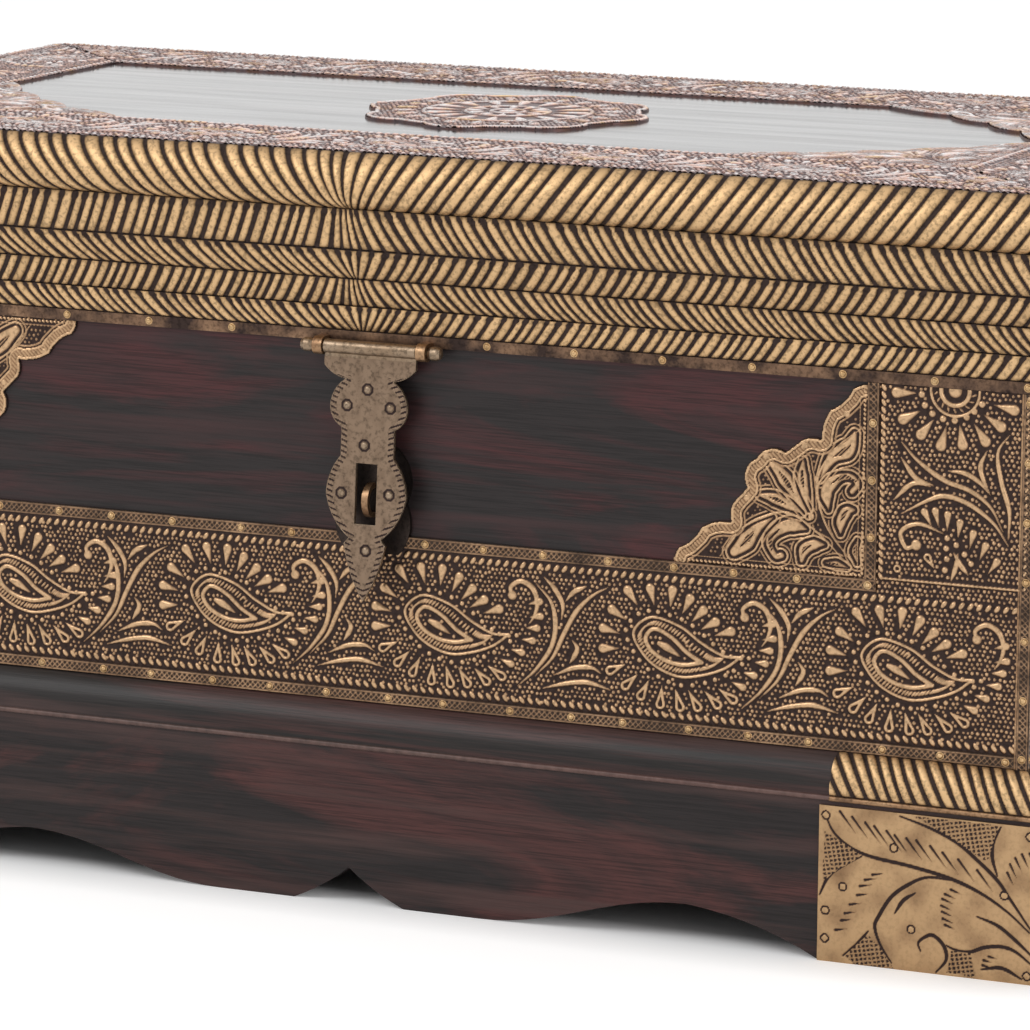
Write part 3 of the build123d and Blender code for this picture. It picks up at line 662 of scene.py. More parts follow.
def flower_and_fronds(relief):
    """The end panel's figure: half a flower at the top, fronds, a curl and a fan of drops."""
    cx, cy = 45.0, 112.0
    relief.ring(cx, cy, 14.5, 1.8)
    relief.ring(cx, cy, 8.5, 2.8, 1.0)
    relief.bead(cx, cy, 4.2)
    for n in range(9):
        a = pi + (n + 0.5) * pi / 9
        relief.grain(cx + 11.5 * cos(a), cy + 11.5 * sin(a), a + 0.5, 3.6, 1.3, 0.7)
    for px, py in ((25, 108.5), (27, 102.5), (31.5, 98), (38, 95.5), (45, 95), (52, 97.5), (56.5, 101),
                   (61, 105.5)):
        relief.bead(px, py, 2.1)
    for px, py in ((10, 108.5), (14, 93.5), (25, 85.5), (37, 80), (50, 81.5), (63.5, 84.5), (72.5, 93.5),
                   (80, 103.5)):
        relief.drop(px, py, atan2(cy - 2 - py, cx - px), 12.5, 3.4)
    fronds = (
        ((77.5, 89), (71, 78.5), (73.5, 62), (78.5, 46), (78.5, 30)),
        ((78.5, 26), (69.5, 38), (55.5, 47.5), (41.5, 51.5), (31.5, 49), (14.5, 39.5)),
        ((75, 34), (67.5, 47), (55.5, 55.5), (39.5, 60.5), (23.5, 70.5), (13.5, 80.5)),
        ((67, 54.5), (60.5, 61), (51.5, 65.5), (42, 66)),
        ((66.5, 55.5), (62, 64.5), (61, 71), (64.5, 79)),
        ((33.5, 57), (22.5, 60.5), (13.5, 71.5)),
        ((31.5, 56.5), (20.5, 57), (9.5, 47)),
        ((48.5, 19), (47.5, 11.5), (45, 3.5)),
        ((46, 19.5), (50.5, 12.5), (55, 7.5)),
    )
    for points in fronds:
        relief.stroke(points, 3.3, 1.0, (0.25, 0.9, 1.0, 0.3))
    relief.bead(23.5, 22, 3.2)
    relief.stroke(((23.5, 22), (17.5, 20), (14, 28), (19.5, 33), (27.5, 34), (39.5, 30)), 2.9, 1.0,
                  (0.9, 1, 1, 0.9, 0.3))
    for px, py, lean in ((28, 41.5, -60), (34.5, 42.5, -75), (42, 41, -90), (49.5, 37, -97),
                         (57.5, 31.5, -102), (65, 25, -112), (72, 16.5, -125)):
        relief.drop(px, py, radians(lean), 9.5, 2.4)
    for px, py in ((42, 27.5), (41.5, 21.5), (42, 15.5), (41, 9), (47.5, 24), (52.5, 19), (56.5, 14)):
        relief.bead(px, py, 1.9)
    relief.drop(30.5, 15.5, radians(-55), 7.0, 2.4, True)
    relief.ring(12.5, 7.5, 1.7, 1.4)

BRACKET_BLADES = (
    (((34.5, 33.5), (43.5, 45.5), (51, 55.5), (57.5, 62)), (0.5, 2.8, 5.4, 2.6)),
    (((34.5, 37), (37.5, 47.5), (39, 57), (38.5, 65)), (0.5, 3.4, 4.0, 1.0)),
    (((38.5, 34.5), (48, 39), (56.5, 42), (64, 43)), (0.5, 3.6, 4.2, 1.6)),
    (((28, 55), (21, 68), (11.5, 74), (7.5, 83)), (0.6, 3.6, 6.2, 1.6)),
    (((22.5, 38), (24, 48.5), (18, 56), (9.5, 58), (5.5, 54), (8.5, 49.5)), (0.6, 4.4, 4.6, 2.6, 2.0, 2.2)),
    (((15, 24.5), (15, 31.5), (11.5, 38), (7.5, 39)), (0.6, 3.8, 4.2, 1.4)),
    (((4.5, 8.5), (6.5, 15.5), (4.5, 21.5)), (0.5, 2.2, 0.6)),
    (((56.5, 30.5), (66, 23.5), (73.5, 14.5), (80, 8.5)), (0.6, 3.4, 6.2, 3.4)),
    (((36, 25.5), (45.5, 27), (54.5, 22.5), (58.5, 15.5), (54.5, 8.5), (51, 9)),
     (0.8, 4.8, 4.4, 3.2, 2.2, 2.4)),
    (((24.5, 17.5), (31, 17), (37, 13.5), (38.5, 7)), (0.6, 3.8, 4.2, 1.6)),
    (((10.5, 5.5), (17, 7), (23.5, 7)), (0.5, 2.2, 0.6)),
)
BRACKET_STEMS = (
    ((6.5, 7.5), (22.5, 26.5), (29, 44.5), (28.5, 58.5), (19, 73.5), (4, 86)),
    ((9.5, 6.5), (27.5, 23), (46, 34), (60.5, 31), (77.5, 21), (88.5, 5.5)),
)
BRACKET_PINS = ((37.5, 74), (72.5, 41), (97.5, 20), (12.5, 94), (33, 33), (61, 66))
BRACKET_RISE = 111.6
BRACKET_RIM = ((1.0, 0.95, 1.0), (6.2, 0.8, 0.9), (8.3, 0.7, 0.6))  # inset, half width, height of each
BLADE_WIDTH = 0.41


def bracket_figure(relief, edge_away, first, second):
    """Leaves fanning out of the right angle, inside a double scalloped rim.

    The leaves are drawn for legs of the front bracket's size and stretched to these legs.
    """
    sx, sy = first / BRACKET_LEG, second / BRACKET_RISE

    def at(points):
        return [(sx * px, sy * py) for px, py in points]

    for points, radii in BRACKET_BLADES:
        relief.blade(at(points), [BLADE_WIDTH * (sx + sy) * r for r in radii])
    for points in BRACKET_STEMS:
        relief.stroke(at(points), 1.6, 0.85, (0.6, 1.0, 1.0, 0.6))
    gx, gy = relief.grid()
    spokes = 0.72 * (0.3 + 0.7 * np.abs(np.cos(pi * (gx - gy) / 2.8)))
    lines = [height * ridge(edge_away, middle, reach) for middle, reach, height in BRACKET_RIM]
    lines.append(np.where((edge_away > 2.0) & (edge_away < 5.4), spokes, 0))
    relief.height = np.where(edge_away < 7.2, 0.0, relief.height)
    relief.height = np.maximum.reduce((relief.height, *lines))
    relief.taken |= edge_away < 9.4
    relief.rope((1.6, 1.6), (1.6, second), 60, 2.6, 2.6, 1.6)
    relief.rope((1.6, 1.6), (first, 1.6), 30, 2.6, 2.6, 1.6)
    for far in ((4.4, second - 6), (first - 6, 4.4)):
        relief.stroke(((4.4, 4.4), far), 0.9, 0.7, (1, 1))
    for px, py in at(BRACKET_PINS):
        relief.bead(px, py, 2.1)


def hammered(relief, seed, low, high, scale):
    """An uneven beaten ground."""
    draw = np.random.default_rng(seed)
    gx, gy = relief.grid()
    total = np.zeros(relief.height.shape)
    for n in range(14):
        angle, phase = draw.uniform(0, 2 * pi, 2)
        wave = 2 * pi / (scale * draw.uniform(0.7, 3.0))
        total += np.sin(wave * (gx * cos(angle) + gy * sin(angle)) + phase)
    total = (total - total.min()) / (total.max() - total.min())
    return low + (high - low) * total


def strip_relief(length, pitch, seed):
    """A nailed strip: two thin bright edges and a dark lattice between them."""
    relief = Relief(length, STRIP, pitch)
    gx, gy = relief.grid()
    middle = np.abs(gy - STRIP / 2)
    edge = np.clip(1 - np.abs(middle - (STRIP / 2 - 0.8)) / 0.7, 0, 1)
    crossing = np.maximum(np.cos(2 * pi * (gx + gy) / 3.4), np.cos(2 * pi * (gx - gy) / 3.4))
    lattice = 0.55 * np.clip(crossing, 0, 1) * (middle < STRIP / 2 - 1.6)
    draw = np.random.default_rng(seed)
    wear = np.interp(relief.x, np.linspace(0, length, 40), draw.uniform(0.55, 1.1, 40))[None, :]
    relief.height = np.maximum(0.8 * edge, lattice) * wear
    return relief


# Front, left and right of the carcass
FRONT_MOTIFS = (-359.0, -217.6, -78.5, 62.7, 208.8, 349.9)
SIDE_MOTIFS = (-142.0, 0.0, 142.0)
MOTIF_HEIGHT = 51.2
ROPE_LEAN = 52
ROPE_INSET = 3.6
NAIL_SPACING = 38.0
NAIL_RADIUS = 1.75
NAIL_HEIGHT = 1.5


def on_side(side, out):
    """Turns a place on an upright side into a point: x to the viewer's right, z up."""
    way = OUTWARD[side]
    right = np.cross(UP, way)
    return lambda x, z: right * x + UP * z + way * out


def band(side, motifs, pitch, seed, pieces=1):
    """The embossed band of one side: figures in a row between two ropes."""
    half, face = across(BODY_HALF, side)
    reach = half - STRIP + 2.0
    relief = Relief(2 * reach, BAND_HEIGHT, pitch)
    for x in motifs:
        paisley(relief, reach + x, MOTIF_HEIGHT)
    low, high = STRIP + ROPE_INSET, BAND_HEIGHT - STRIP - ROPE_INSET
    relief.rope((0, low), (2 * reach, low), -ROPE_LEAN)
    relief.rope((0, high), (2 * reach, high), ROPE_LEAN)
    relief.taken[relief.y < low - 1.5] = True
    under_strip = np.abs(relief.x - reach) < half - PANEL_START + STRIP
    relief.taken[np.ix_(relief.y > high + 1.5, under_strip)] = True
    relief.ground(seed)
    place = upright(side, face + SHEET, -reach, BAND_BOTTOM)
    add_relief(f"{side}_band_relief", relief, place, EMBOSSED, pieces=pieces)


def end_panels(side, pitch, seed):
    """The two panels over the band's ends; the left one is mirrored."""
    half, face = across(BODY_HALF, side)
    width = PANEL_START - STRIP
    for sign, label in ENDS:
        relief = Relief(width, PANEL_HEIGHT, pitch)
        flower_and_fronds(relief)
        for x, lean in ((2.4, 120), (width - 2.4, 60)):
            relief.rope((x, 0), (x, PANEL_HEIGHT), lean, 4.3, 5.0, 2.6)
        relief.stroke(((3, 1.2), (width - 3, 1.2)), 1.5, 0.9, (1, 1))
        relief.ground(seed + sign)
        place = upright(side, face + SHEET, sign * (half - PANEL_START + STRIP), BAND_TOP, sign)
        add_relief(f"{side}_{label}_panel_relief", relief, place, EMBOSSED, flip=sign < 0)


def strips(side, pitch):
    """The nailed strips round the wood panel of one side and along the band's foot."""
    half, face = across(BODY_HALF, side)
    out = face + 2 * SHEET
    post_x = half - PANEL_START + STRIP / 2
    top_reach, foot_reach = half - PANEL_START + STRIP, half - STRIP + 1.0
    runs = (("top", top_reach, BAND_TOP - STRIP, 3), ("foot", foot_reach, BAND_BOTTOM, 4))
    for label, reach, z, seed in runs:
        relief = strip_relief(2 * reach, pitch, seed)
        place = upright(side, out, -reach, z)
        add_relief(f"{side}_{label}_strip_relief", relief, place, STRIP_BRASS, rise=STRIP_RISE)
    for sign, label in ENDS:
        relief = strip_relief(PANEL_HEIGHT, pitch, 5)
        place = post(side, out, sign * post_x, BAND_TOP)
        add_relief(f"{side}_{label}_post_relief", relief, place, STRIP_BRASS, rise=STRIP_RISE)
    spot = on_side(side, out)
    draw = np.random.default_rng(11)
    nails = []
    for z, reach in ((BAND_TOP - STRIP / 2, top_reach - 5), (BAND_BOTTOM + STRIP / 2, foot_reach - 5)):
        count = int(2 * reach / NAIL_SPACING)
        for n in range(count + 1):
            stray = draw.uniform(-4, 4) if 0 < n < count else 0
            nails.append(spot(-reach + 2 * reach * n / count + stray, z))
    nails.extend(spot(sign * post_x, BAND_TOP + 24 + 33 * n) for sign in (-1, 1) for n in range(3))
    studs(f"{side}_strip_nails", nails, OUTWARD[side], NAIL_RADIUS, NAIL_HEIGHT, STUD_BRASS)


def corner_angles():
    """The nailed angle strips on the two front corners."""
    for side, sign in (("front", -1), ("front", 1), ("right", -1), ("left", 1)):
        half, face = across(BODY_HALF, side)
        out = face + 2 * SHEET
        middle = sign * (half + 2 * SHEET - STRIP / 2)
        name = f"{side}_corner_strip_{'right' if sign > 0 else 'left'}"
        relief = strip_relief(BODY_TOP - BAND_BOTTOM, FINE if side == "front" else MEDIUM, 6)
        place = post(side, out, middle, BAND_BOTTOM)
        add_relief(f"{name}_relief", relief, place, STRIP_BRASS, rise=STRIP_RISE)
        spot = on_side(side, out)
        nails = [spot(middle, BAND_BOTTOM + 6 + 34 * n) for n in range(7)]
        studs(f"{name}_nails", nails, OUTWARD[side], NAIL_RADIUS, NAIL_HEIGHT, STUD_BRASS)


corner_angles()
band("front", FRONT_MOTIFS, FINE, 21, 3)
band("left", SIDE_MOTIFS, COARSE, 22)
band("right", SIDE_MOTIFS, COARSE, 23)
end_panels("front", FINE, 31)
end_panels("left", COARSE, 34)
end_panels("right", COARSE, 37)
strips("front", FINE)
strips("left", MEDIUM)
strips("right", MEDIUM)


# Brackets, whose relief follows the outline of the sheet below
STRAIGHT_EDGE = 2.5  # edges nearer than this to a leg don't count as lobed
LOOK_FROM = 0.002
LOOK_REACH = 0.004


def edge_distance(keep, relief, left_out=None):
    """Distance in millimetres from each point to the outline, without the straight edges.

    left_out marks grid points whose edges don't count.
    """
    rim = keep & ~(np.roll(keep, 1, 0) & np.roll(keep, -1, 0) & np.roll(keep, 1, 1) & np.roll(keep, -1, 1))
    if left_out is not None:
        rim &= ~left_out
    rows, columns = np.nonzero(rim)
    gx, gy = relief.grid()
    away = np.full(gx.shape, FAR)
    for px, py in zip(relief.x[columns], relief.y[rows]):
        if px > STRAIGHT_EDGE and py > STRAIGHT_EDGE:
            np.minimum(away, np.hypot(gx - px, gy - py), out=away)
    return away


def covered_by(node, relief, place, way):
    """Which points of a placed relief lie over a CAD node, looking back along a direction."""
    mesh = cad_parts[node].data
    faces = [tuple(face.vertices) for face in mesh.polygons]
    tree = BVHTree.FromPolygons([vertex.co.copy() for vertex in mesh.vertices], faces)
    back = Vector(-np.array(way))
    points = place(*relief.grid(), np.zeros(relief.height.shape)).reshape(-1, 3) * MM
    found = [tree.ray_cast(Vector(p) - back * LOOK_FROM, back, LOOK_REACH)[0] is not None for p in points]
    return np.array(found).reshape(relief.height.shape)


def bracket_relief(name, node, legs, pitch, place, way, look, body, flip):
    """The leaves of one bracket; legs are the lengths of its two straight edges."""
    relief = Relief(legs[0] + 1.5, legs[1] + 1.5, pitch)
    keep = covered_by(node, relief, place, way)
    bracket_figure(relief, edge_distance(keep, relief), *legs)
    relief.ground(5, 3.0, 0.9, 0.5)
    add_relief(name, relief, place, look, body, keep, flip=flip)


panel_edge = BODY_HALF[0] - PANEL_START
panel_leg = PANEL_HEIGHT - 1.5
front_out = BODY_HALF[1] + SHEET
for label, leg, pitch, place in (
    ("lower_right", BRACKET_LEG, 0.55, upright("front", front_out, panel_edge, BAND_TOP, -1)),
    ("upper_left", LARGE_BRACKET_LEG, 0.6, upright("front", front_out, -panel_edge, BODY_TOP, 1, -1)),
):
    bracket_relief(f"{label}_bracket_relief", f"bracket_{label}", (leg, panel_leg), pitch, place,
                   OUTWARD["front"], EMBOSSED, "carcass", True)


# Foot plates, engraved and stippled
FOOT_LINES = (
    ((49, 90), (67, 85), (83, 78.5), (95, 70), (108, 59), (117, 47.5), (130, 30.5)),
    ((3, 88), (8.5, 77), (18.5, 69), (32, 64.5), (55.5, 61.5), (79.5, 57), (98, 50.5),
     (114, 41.5), (128, 30.5)),
    ((1, 39), (6.5, 50.5), (15.5, 58), (26, 64)),
    ((31, 20.5), (24, 11.5), (16, 4.5)),
    ((82, 56), (66, 56), (54, 50), (44.5, 42), (37.5, 30.5), (35, 23.5), (38.5, 13.5), (45.5, 3.5)),
    ((63, 12.5), (61.5, 17), (65.5, 21), (70.5, 22.5), (77, 17), (78.5, 9), (72.5, 1)),
    ((78.5, 17.5), (84.5, 15.5), (93, 15.5), (101.5, 19), (111.5, 20.5), (120, 18.5), (131, 11)),
    ((96.5, 36.5), (109, 32.5), (120, 25), (131, 16)),
    ((109.5, 90), (105, 80), (105, 71), (108, 61.5)),
    ((100, 6), (112, 8), (124, 3)),
    ((47, 33), (52, 41), (59, 46)),
)
FOOT_STIPPLES = (
    [(3.5, 76.5), (18.5, 69), (26, 64), (11.5, 54.5), (2.5, 46.5)],
    [(56, 91), (108.5, 91), (105, 80), (102, 68.5), (84, 78.5), (67, 87)],
    [(31, 18.5), (38.5, 11.5), (47, 0), (22.5, 0), (17, 4.5)],
    [(81.5, 14.5), (93, 14.5), (97, 1), (79, 1.5)],
)
FOOT_NICKS = (
    (((12.5, 89), (20, 86.5), (28, 84), (33.5, 82.5), (41, 80.5), (46, 78.5), (53, 77.5), (59, 77),
      (67.5, 74.5), (75, 71.5), (84.5, 68.5), (96, 63.5)), -50, 15.0),
    (((33, 54), (28.5, 50.5), (25.5, 46.5), (24, 41), (19.5, 35), (16.5, 29.5), (14.5, 25),
      (11, 19)), 12, 7.0),
    (((80.5, 50.5), (77, 47.5), (75.5, 44.5), (75, 40.5), (75.5, 37), (76, 33), (77.5, 29.5)), -18, 6.5),
    (((114, 64), (115.5, 69), (118.5, 73), (122.5, 75.5), (127, 76.5)), -62, 9.0),
    (((104, 14), (101, 11.5), (100.5, 8.5)), -10, 5.0),
)
FOOT_PINS = ((45.5, 71), (15, 45), (57, 24.5), (4.5, 13.5), (4.5, 30), (112.5, 50.5), (4, 86),
             (127, 86), (127, 5))


def foot_relief(pitch):
    """A foot plate's engraved leaves, stippled fields, nicks and pins."""
    relief = Relief(FOOT_WIDTH, FOOT_HEIGHT, pitch)
    relief.height = hammered(relief, 8, 0.42, 1.0, 16.0)
    for points in FOOT_LINES:
        relief.engrave(points, 2.5)
    for places, lean, length in FOOT_NICKS:
        for x, y in places:
            end = (x + length * cos(radians(lean)), y + length * sin(radians(lean)))
            middle = ((x + end[0]) / 2, (y + end[1]) / 2)
            relief.engrave(((x, y), middle, end), 1.9, 0.95, (1.0, 0.7, 0.25))
    gx, gy = relief.grid()
    weave = np.sin(2 * pi * (gx + 0.2 * gy) / 2.7) > -0.45
    weave &= np.sin(2 * pi * (gy - 0.2 * gx) / 2.5) > -0.35
    for outline in FOOT_STIPPLES:
        relief.height = np.where(relief.inside(outline), np.where(weave, 0.1, 0.6), relief.height)
    for x, y in FOOT_PINS:
        away = np.hypot(gx - x, gy - y)
        relief.height = np.where(np.abs(away - 2.3) < 0.6, 0.1, relief.height)
        relief.height = np.where(away < 1.7, 1.1, relief.height)
    return relief


fine_foot, coarse_foot = foot_relief(0.6), foot_relief(1.1)
FOOT_PLACES = (("front", 1, "front_right"), ("front", -1, "front_left"), ("right", -1, "right_front"),
               ("left", 1, "left_front"), ("right", 1, "right_back"), ("left", -1, "left_back"),
               ("back", -1, "back_right"), ("back", 1, "back_left"))
for side, sign, label in FOOT_PLACES:
    half, face = across(PLINTH_HALF, side)
    place = upright(side, face + FOOT_SHEET, sign * (half - FOOT_WIDTH), 0.0, sign)
    add_relief(f"foot_relief_{label}", fine_foot if side == "front" else coarse_foot, place, PLATE_BRASS,
               rise=FOOT_RISE, flip=sign < 0)


# Fluted work: the lid's moulded face and the caps on the plinth moulding
ROLL_BULGE = 12.5
NOSE_DROP = 24.0
ROLL_HEIGHT = 32.0
GROOVE_OUT = 6.0
FASCIA_DROPS = (57.0, 75.0, 92.0, 107.0)
FASCIA_OUTS = (3.0, -4.3, -9.8, -12.0)
FASCIA_SWELL = 0.8
ROLL_RISE = 1.5
FASCIA_RISE = 1.15
GATHER = 0.45  # where the runs part at the middle, this share of their spread is filled with more flutes
GATHER_REACH = 6.0


def arc_points(start, end, swell, count):
    """Points of the arc that stands out by swell on the left of the way it runs."""
    start, end = np.array(start, float), np.array(end, float)
    chord = end - start
    run = np.hypot(*chord)
    left = np.array((-chord[1], chord[0])) / run
    radius = (run * run / 4 + swell * swell) / (2 * swell)
    half_angle = asin(min(1.0, run / 2 / radius))
    t = np.linspace(-half_angle, half_angle, count)
    rise = radius * (np.cos(t) - cos(half_angle))
    return (start + end) / 2 + (radius * np.sin(t))[:, None] * chord / run + rise[:, None] * left


def with_normals(line):
    """Each point of a face drawn from its top to its foot: (share of the way down, point, outward)."""
    slope = np.gradient(line, axis=0)
    slope /= np.linalg.norm(slope, axis=1)[:, None]
    normals = np.stack((-slope[:, 1], slope[:, 0]), axis=-1)
    return zip(np.arange(len(line)) / (len(line) - 1), line, normals)


def row_on(side, x, out, z):
    """A row of points across an upright side, at one height and distance or at one for each x."""
    way = OUTWARD[side]
    across_way = x[:, None] * np.cross(UP, way)
    return across_way + np.asarray(z)[..., None] * UP + np.asarray(out)[..., None] * way


def flutes(x, share, runs, pitch, groove, seed, curl, fan_reach):
    """Heights of slanted flutes at places x, a share of the way down; they fan at the middle."""
    left_run, right_run = runs
    start = np.linspace(x.min() - 80, x.max() + 80, 5000)
    fan = 0.5 + 0.5 * np.tanh(start / fan_reach)
    end = start + share ** curl * (left_run * (1 - fan) + right_run * fan)
    head = np.interp(x, end, start)
    wobble = 1.1 * np.sin(head / 17.0 + seed) + 0.9 * np.sin(head / 7.3 + 2 * seed)
    wobble += 0.6 * np.sin(head / 41.0)
    gathered = GATHER * max(0.0, right_run - left_run) * np.tanh(head / GATHER_REACH)
    phase = (head + wobble + gathered) / pitch
    cell = np.floor(phase)
    middle = np.abs(2 * (phase - cell) - 1)
    uneven = 0.9 + 0.1 * np.sin(cell * 2.4 + seed)
    width = 1 - groove * (1 + 0.3 * np.sin(cell * 1.7 + 3 * seed))
    return uneven * np.sqrt(np.clip(1 - (middle / width) ** 2.6, 0, 1))


def lid_face():
    """The lid's face in bands: (line from top to foot, runs, pitch, groove, curl, fan reach).

    A band's runs are how far its flutes lean at its left and right ends.
    """
    top, nose = (0.0, CHEST_TOP), (ROLL_BULGE, CHEST_TOP - NOSE_DROP)
    edge = (GROOVE_OUT, CHEST_TOP - ROLL_HEIGHT)
    roll = np.vstack((arc_points(top, nose, 0.14 * NOSE_DROP, 30)[:-1],
                      arc_points(nose, edge, 0.2 * (ROLL_HEIGHT - NOSE_DROP), 12)))
    bands = [(roll, (33.0, -25.0), 10.3, 0.22, 1.5, 31.0)]
    fascias = (((-9.5, 15.0), 7.6, 0.3, 12.0), ((16.5, -13.0), 7.9, 0.28, 17.0),
               ((-10.5, 13.0), 6.8, 0.32, 12.0), ((14.0, -10.5), 7.2, 0.28, 15.0))
    for (runs, pitch, groove, fan_reach), out, drop in zip(fascias, FASCIA_OUTS, FASCIA_DROPS):
        end = (out, CHEST_TOP - drop)
        bands.append((arc_points(edge, end, FASCIA_SWELL, 24), runs, pitch, groove, 1.25, fan_reach))
        edge = end
    return bands


def fluted_lid(side, pitch, pieces):
    """The flutes over the roll and the four fascias of one side of the lid."""
    half, depth = across(LID_HALF, side)
    share_across = np.linspace(-1, 1, int(2 * half / pitch) + 1)
    rows, heights = [], []
    for n, (line, runs, flute_pitch, groove, curl, fan_reach) in enumerate(lid_face()):
        for share, (out, z), (nx, nz) in with_normals(line):
            x = share_across * (half + out)
            ease = sqrt(max(0.0, 1 - abs(2 * share - 1) ** 5))
            dot = 0.8 * np.exp(-((share - 0.13) / 0.07) ** 2) if n in (1, 2, 4) else 0.0
            height = ease * flutes(x, share, runs, flute_pitch, groove * (1 + dot), n + 1.0, curl, fan_reach)
            height *= 1.0 if n == 0 else 0.92
            rise = (ROLL_RISE if n == 0 else FASCIA_RISE) * height + LIFT
            rows.append(row_on(side, x, depth + out + rise * nx, z + rise * nz))
            heights.append(height)
    points, heights = np.array(rows)[::-1], np.array(heights)[::-1]
    for number, part in side_by_side(points.shape[1], pieces):
        add_grid(f"lid_{side}_flutes_{number}", points[part], heights[part], FLUTED, "lid")


fluted_lid("front", FINE, 2)
fluted_lid("left", 0.9, 1)
fluted_lid("right", 0.9, 1)

CAP_LEAN = 15.0  # how far a rib runs toward the corner on its way down
RIB_PITCH = 7.8
RIB_RISE = 1.3


def ribbed_cap(side, sign, label, pitch):
    """Slanted ribs over one arm of a moulding cap."""
    half, depth = across(PLINTH_HALF, side)
    high = (CAP_SHEET - MOULDING_REACH + 1.0, BAND_BOTTOM)
    low = (CAP_SHEET, APRON_TOP + 2 * CAP_BEAD)
    rows, heights = [], []
    for share, (out, z), (nx, nz) in with_normals(arc_points(high, low, 4.0, 34)):
        reach = np.linspace(half - CAP_LENGTH, half + out, int(CAP_LENGTH / pitch) + 1)
        ease = sqrt(max(0.0, 1 - abs(2 * share - 1) ** 6))
        phase = (reach - CAP_LEAN * share + 0.9 * np.sin(reach / 9.0)) / RIB_PITCH
        middle = np.abs(2 * (phase - np.floor(phase)) - 1)
        height = ease * np.sqrt(np.clip(1 - (middle / 0.7) ** 2.4, 0, 1))
        rise = RIB_RISE * height + LIFT
        rows.append(row_on(side, sign * reach, depth + out + rise * nx, z + rise * nz))
        heights.append(height)
    points, heights = np.array(rows)[::-1, ::sign], np.array(heights)[::-1, ::sign]
    add_grid(f"cap_ribs_{label}", points, heights, FLUTED, "carcass")


for side, sign, label in FOOT_PLACES:
    ribbed_cap(side, sign, label, 0.7 if side == "front" else 1.1)


# Flat top: borders, brackets and medallion
FIGURE_SPACING = 118


def on_top(x, y, rise):
    """Points over the lid's flat top."""
    return np.stack((x, y, CHEST_TOP + LIFT + rise), axis=-1)


def border(side, pitch, seed, pieces=1):
    """One mitred border with its row of figures."""
    half, depth = across(LID_HALF, side)
    relief = Relief(2 * half, BORDER, pitch)
    count = int(2 * half / FIGURE_SPACING)
    for n in range(count):
        paisley(relief, (n + 0.62) * 2 * half / count, BORDER / 2, 0.84)
    relief.rope((0, 4), (2 * half, 4), -ROPE_LEAN)
    relief.rope((0, BORDER - 4), (2 * half, BORDER - 4), ROPE_LEAN)
    relief.ground(seed, 3.6, 1.2, 0.7)
    gx, gy = relief.grid()
    keep = (gx >= gy + 0.5) & (gx <= 2 * half - gy - 0.5)
    way = OUTWARD[side]
    right = np.cross(UP, way)

    def place(x, y, rise):
        points = (x - half)[..., None] * right + (depth - y)[..., None] * way
        return points + (CHEST_TOP + LIFT + rise)[..., None] * UP

    add_relief(f"top_border_relief_{side}", relief, place, TOP_BRASS, "lid", keep,
               pieces=pieces)


border("front", 0.8, 41, 2)
border("back", 1.1, 42)
border("left", 1.0, 43)
border("right", 1.1, 44)

inner_x, inner_y = LID_HALF[0] - BORDER, LID_HALF[1] - BORDER
for label, sx, sy in (("front_left", -1, -1), ("front_right", 1, -1), ("back_right", 1, 1)):
    def place(x, y, rise, sx=sx, sy=sy):
        return on_top(sx * (inner_x - x), sy * (inner_y - y), rise)

    bracket_relief(f"top_bracket_relief_{label}", f"top_bracket_{label}", TOP_BRACKET, 0.9, place, UP,
                   TOP_BRASS, "lid", sx * sy < 0)

MEDALLION_RINGS = (10.5, 26.0, 52.0)
MEDALLION_LEAVES = ((12, 13.0, 23.0, 3.0, False), (16, 29.0, 48.0, 4.2, False), (24, 56.0, 68.0, 3.4, True))


def medallion_relief():
    """The lid's round figure: a rosette, a ring of leaves and a ring of drops."""
    size = 2 * MEDALLION_RADIUS + 2
    c = size / 2
    relief = Relief(size, size, 0.9)
    relief.bead(c, c, 6.0)
    for radius in MEDALLION_RINGS:
        relief.ring(c, c, radius, 2.4)
    for count, near, far, wide, hollow in MEDALLION_LEAVES:
        for n in range(count):
            a = 2 * pi * (n + 0.5) / count
            relief.drop(c + far * cos(a), c + far * sin(a), a + pi, far - near, wide, hollow)

    def place(x, y, rise):
        return on_top(x - c, y - c, rise)

    keep = covered_by("top_medallion", relief, place, UP)
    away = edge_distance(keep, relief)
    relief.height = np.maximum(relief.height, ridge(away, 1.6, 1.4))
    relief.taken |= away < 4
    relief.ground(9, 3.4, 1.1, 0.7)
    add_relief("top_medallion_relief", relief, place, TOP_BRASS, "lid", keep)


medallion_relief()

# Nails in the lid's lower strip, without those behind the hasp
LID_NAIL_SPACING = 52
HASP_X = 12.0
for side in ("front", "left", "right"):
    half, face = across(LID_HALF, side)
    spot = on_side(side, face + FASCIA_OUTS[-1] + SHEET)
    reach = half + FASCIA_OUTS[-1] - 8
    count = int(2 * reach / LID_NAIL_SPACING)
    places = [-reach + 2 * reach * n / count for n in range(count + 1)]
    nails = [spot(x, LID_BOTTOM + 3.4) for x in places if side != "front" or abs(x - HASP_X) > 52]
    studs(f"lid_nails_{side}", nails, OUTWARD[side], 1.7, 1.3, STUD_BRASS, body="lid")

# Rings and nicks on the hasp, which hangs from its pin
HASP_PIN = np.array((HASP_X, -221.0, 334.3))
HASP_HANG = radians(4.0)
HASP_DOWN = np.array((0.0, -sin(HASP_HANG), -cos(HASP_HANG)))
HASP_OUT = np.array((0.0, -cos(HASP_HANG), sin(HASP_HANG)))
HASP_HALF_THICKNESS = 1.0
HASP_RIVETS = ((-1, 24), (-14, 34), (14, 34), (-2, 57), (-16, 86), (15, 85), (1, 119))
HASP_FACE = (-32.0, 6.0, 64.0, 144.0)  # left, start below the pin, width, length


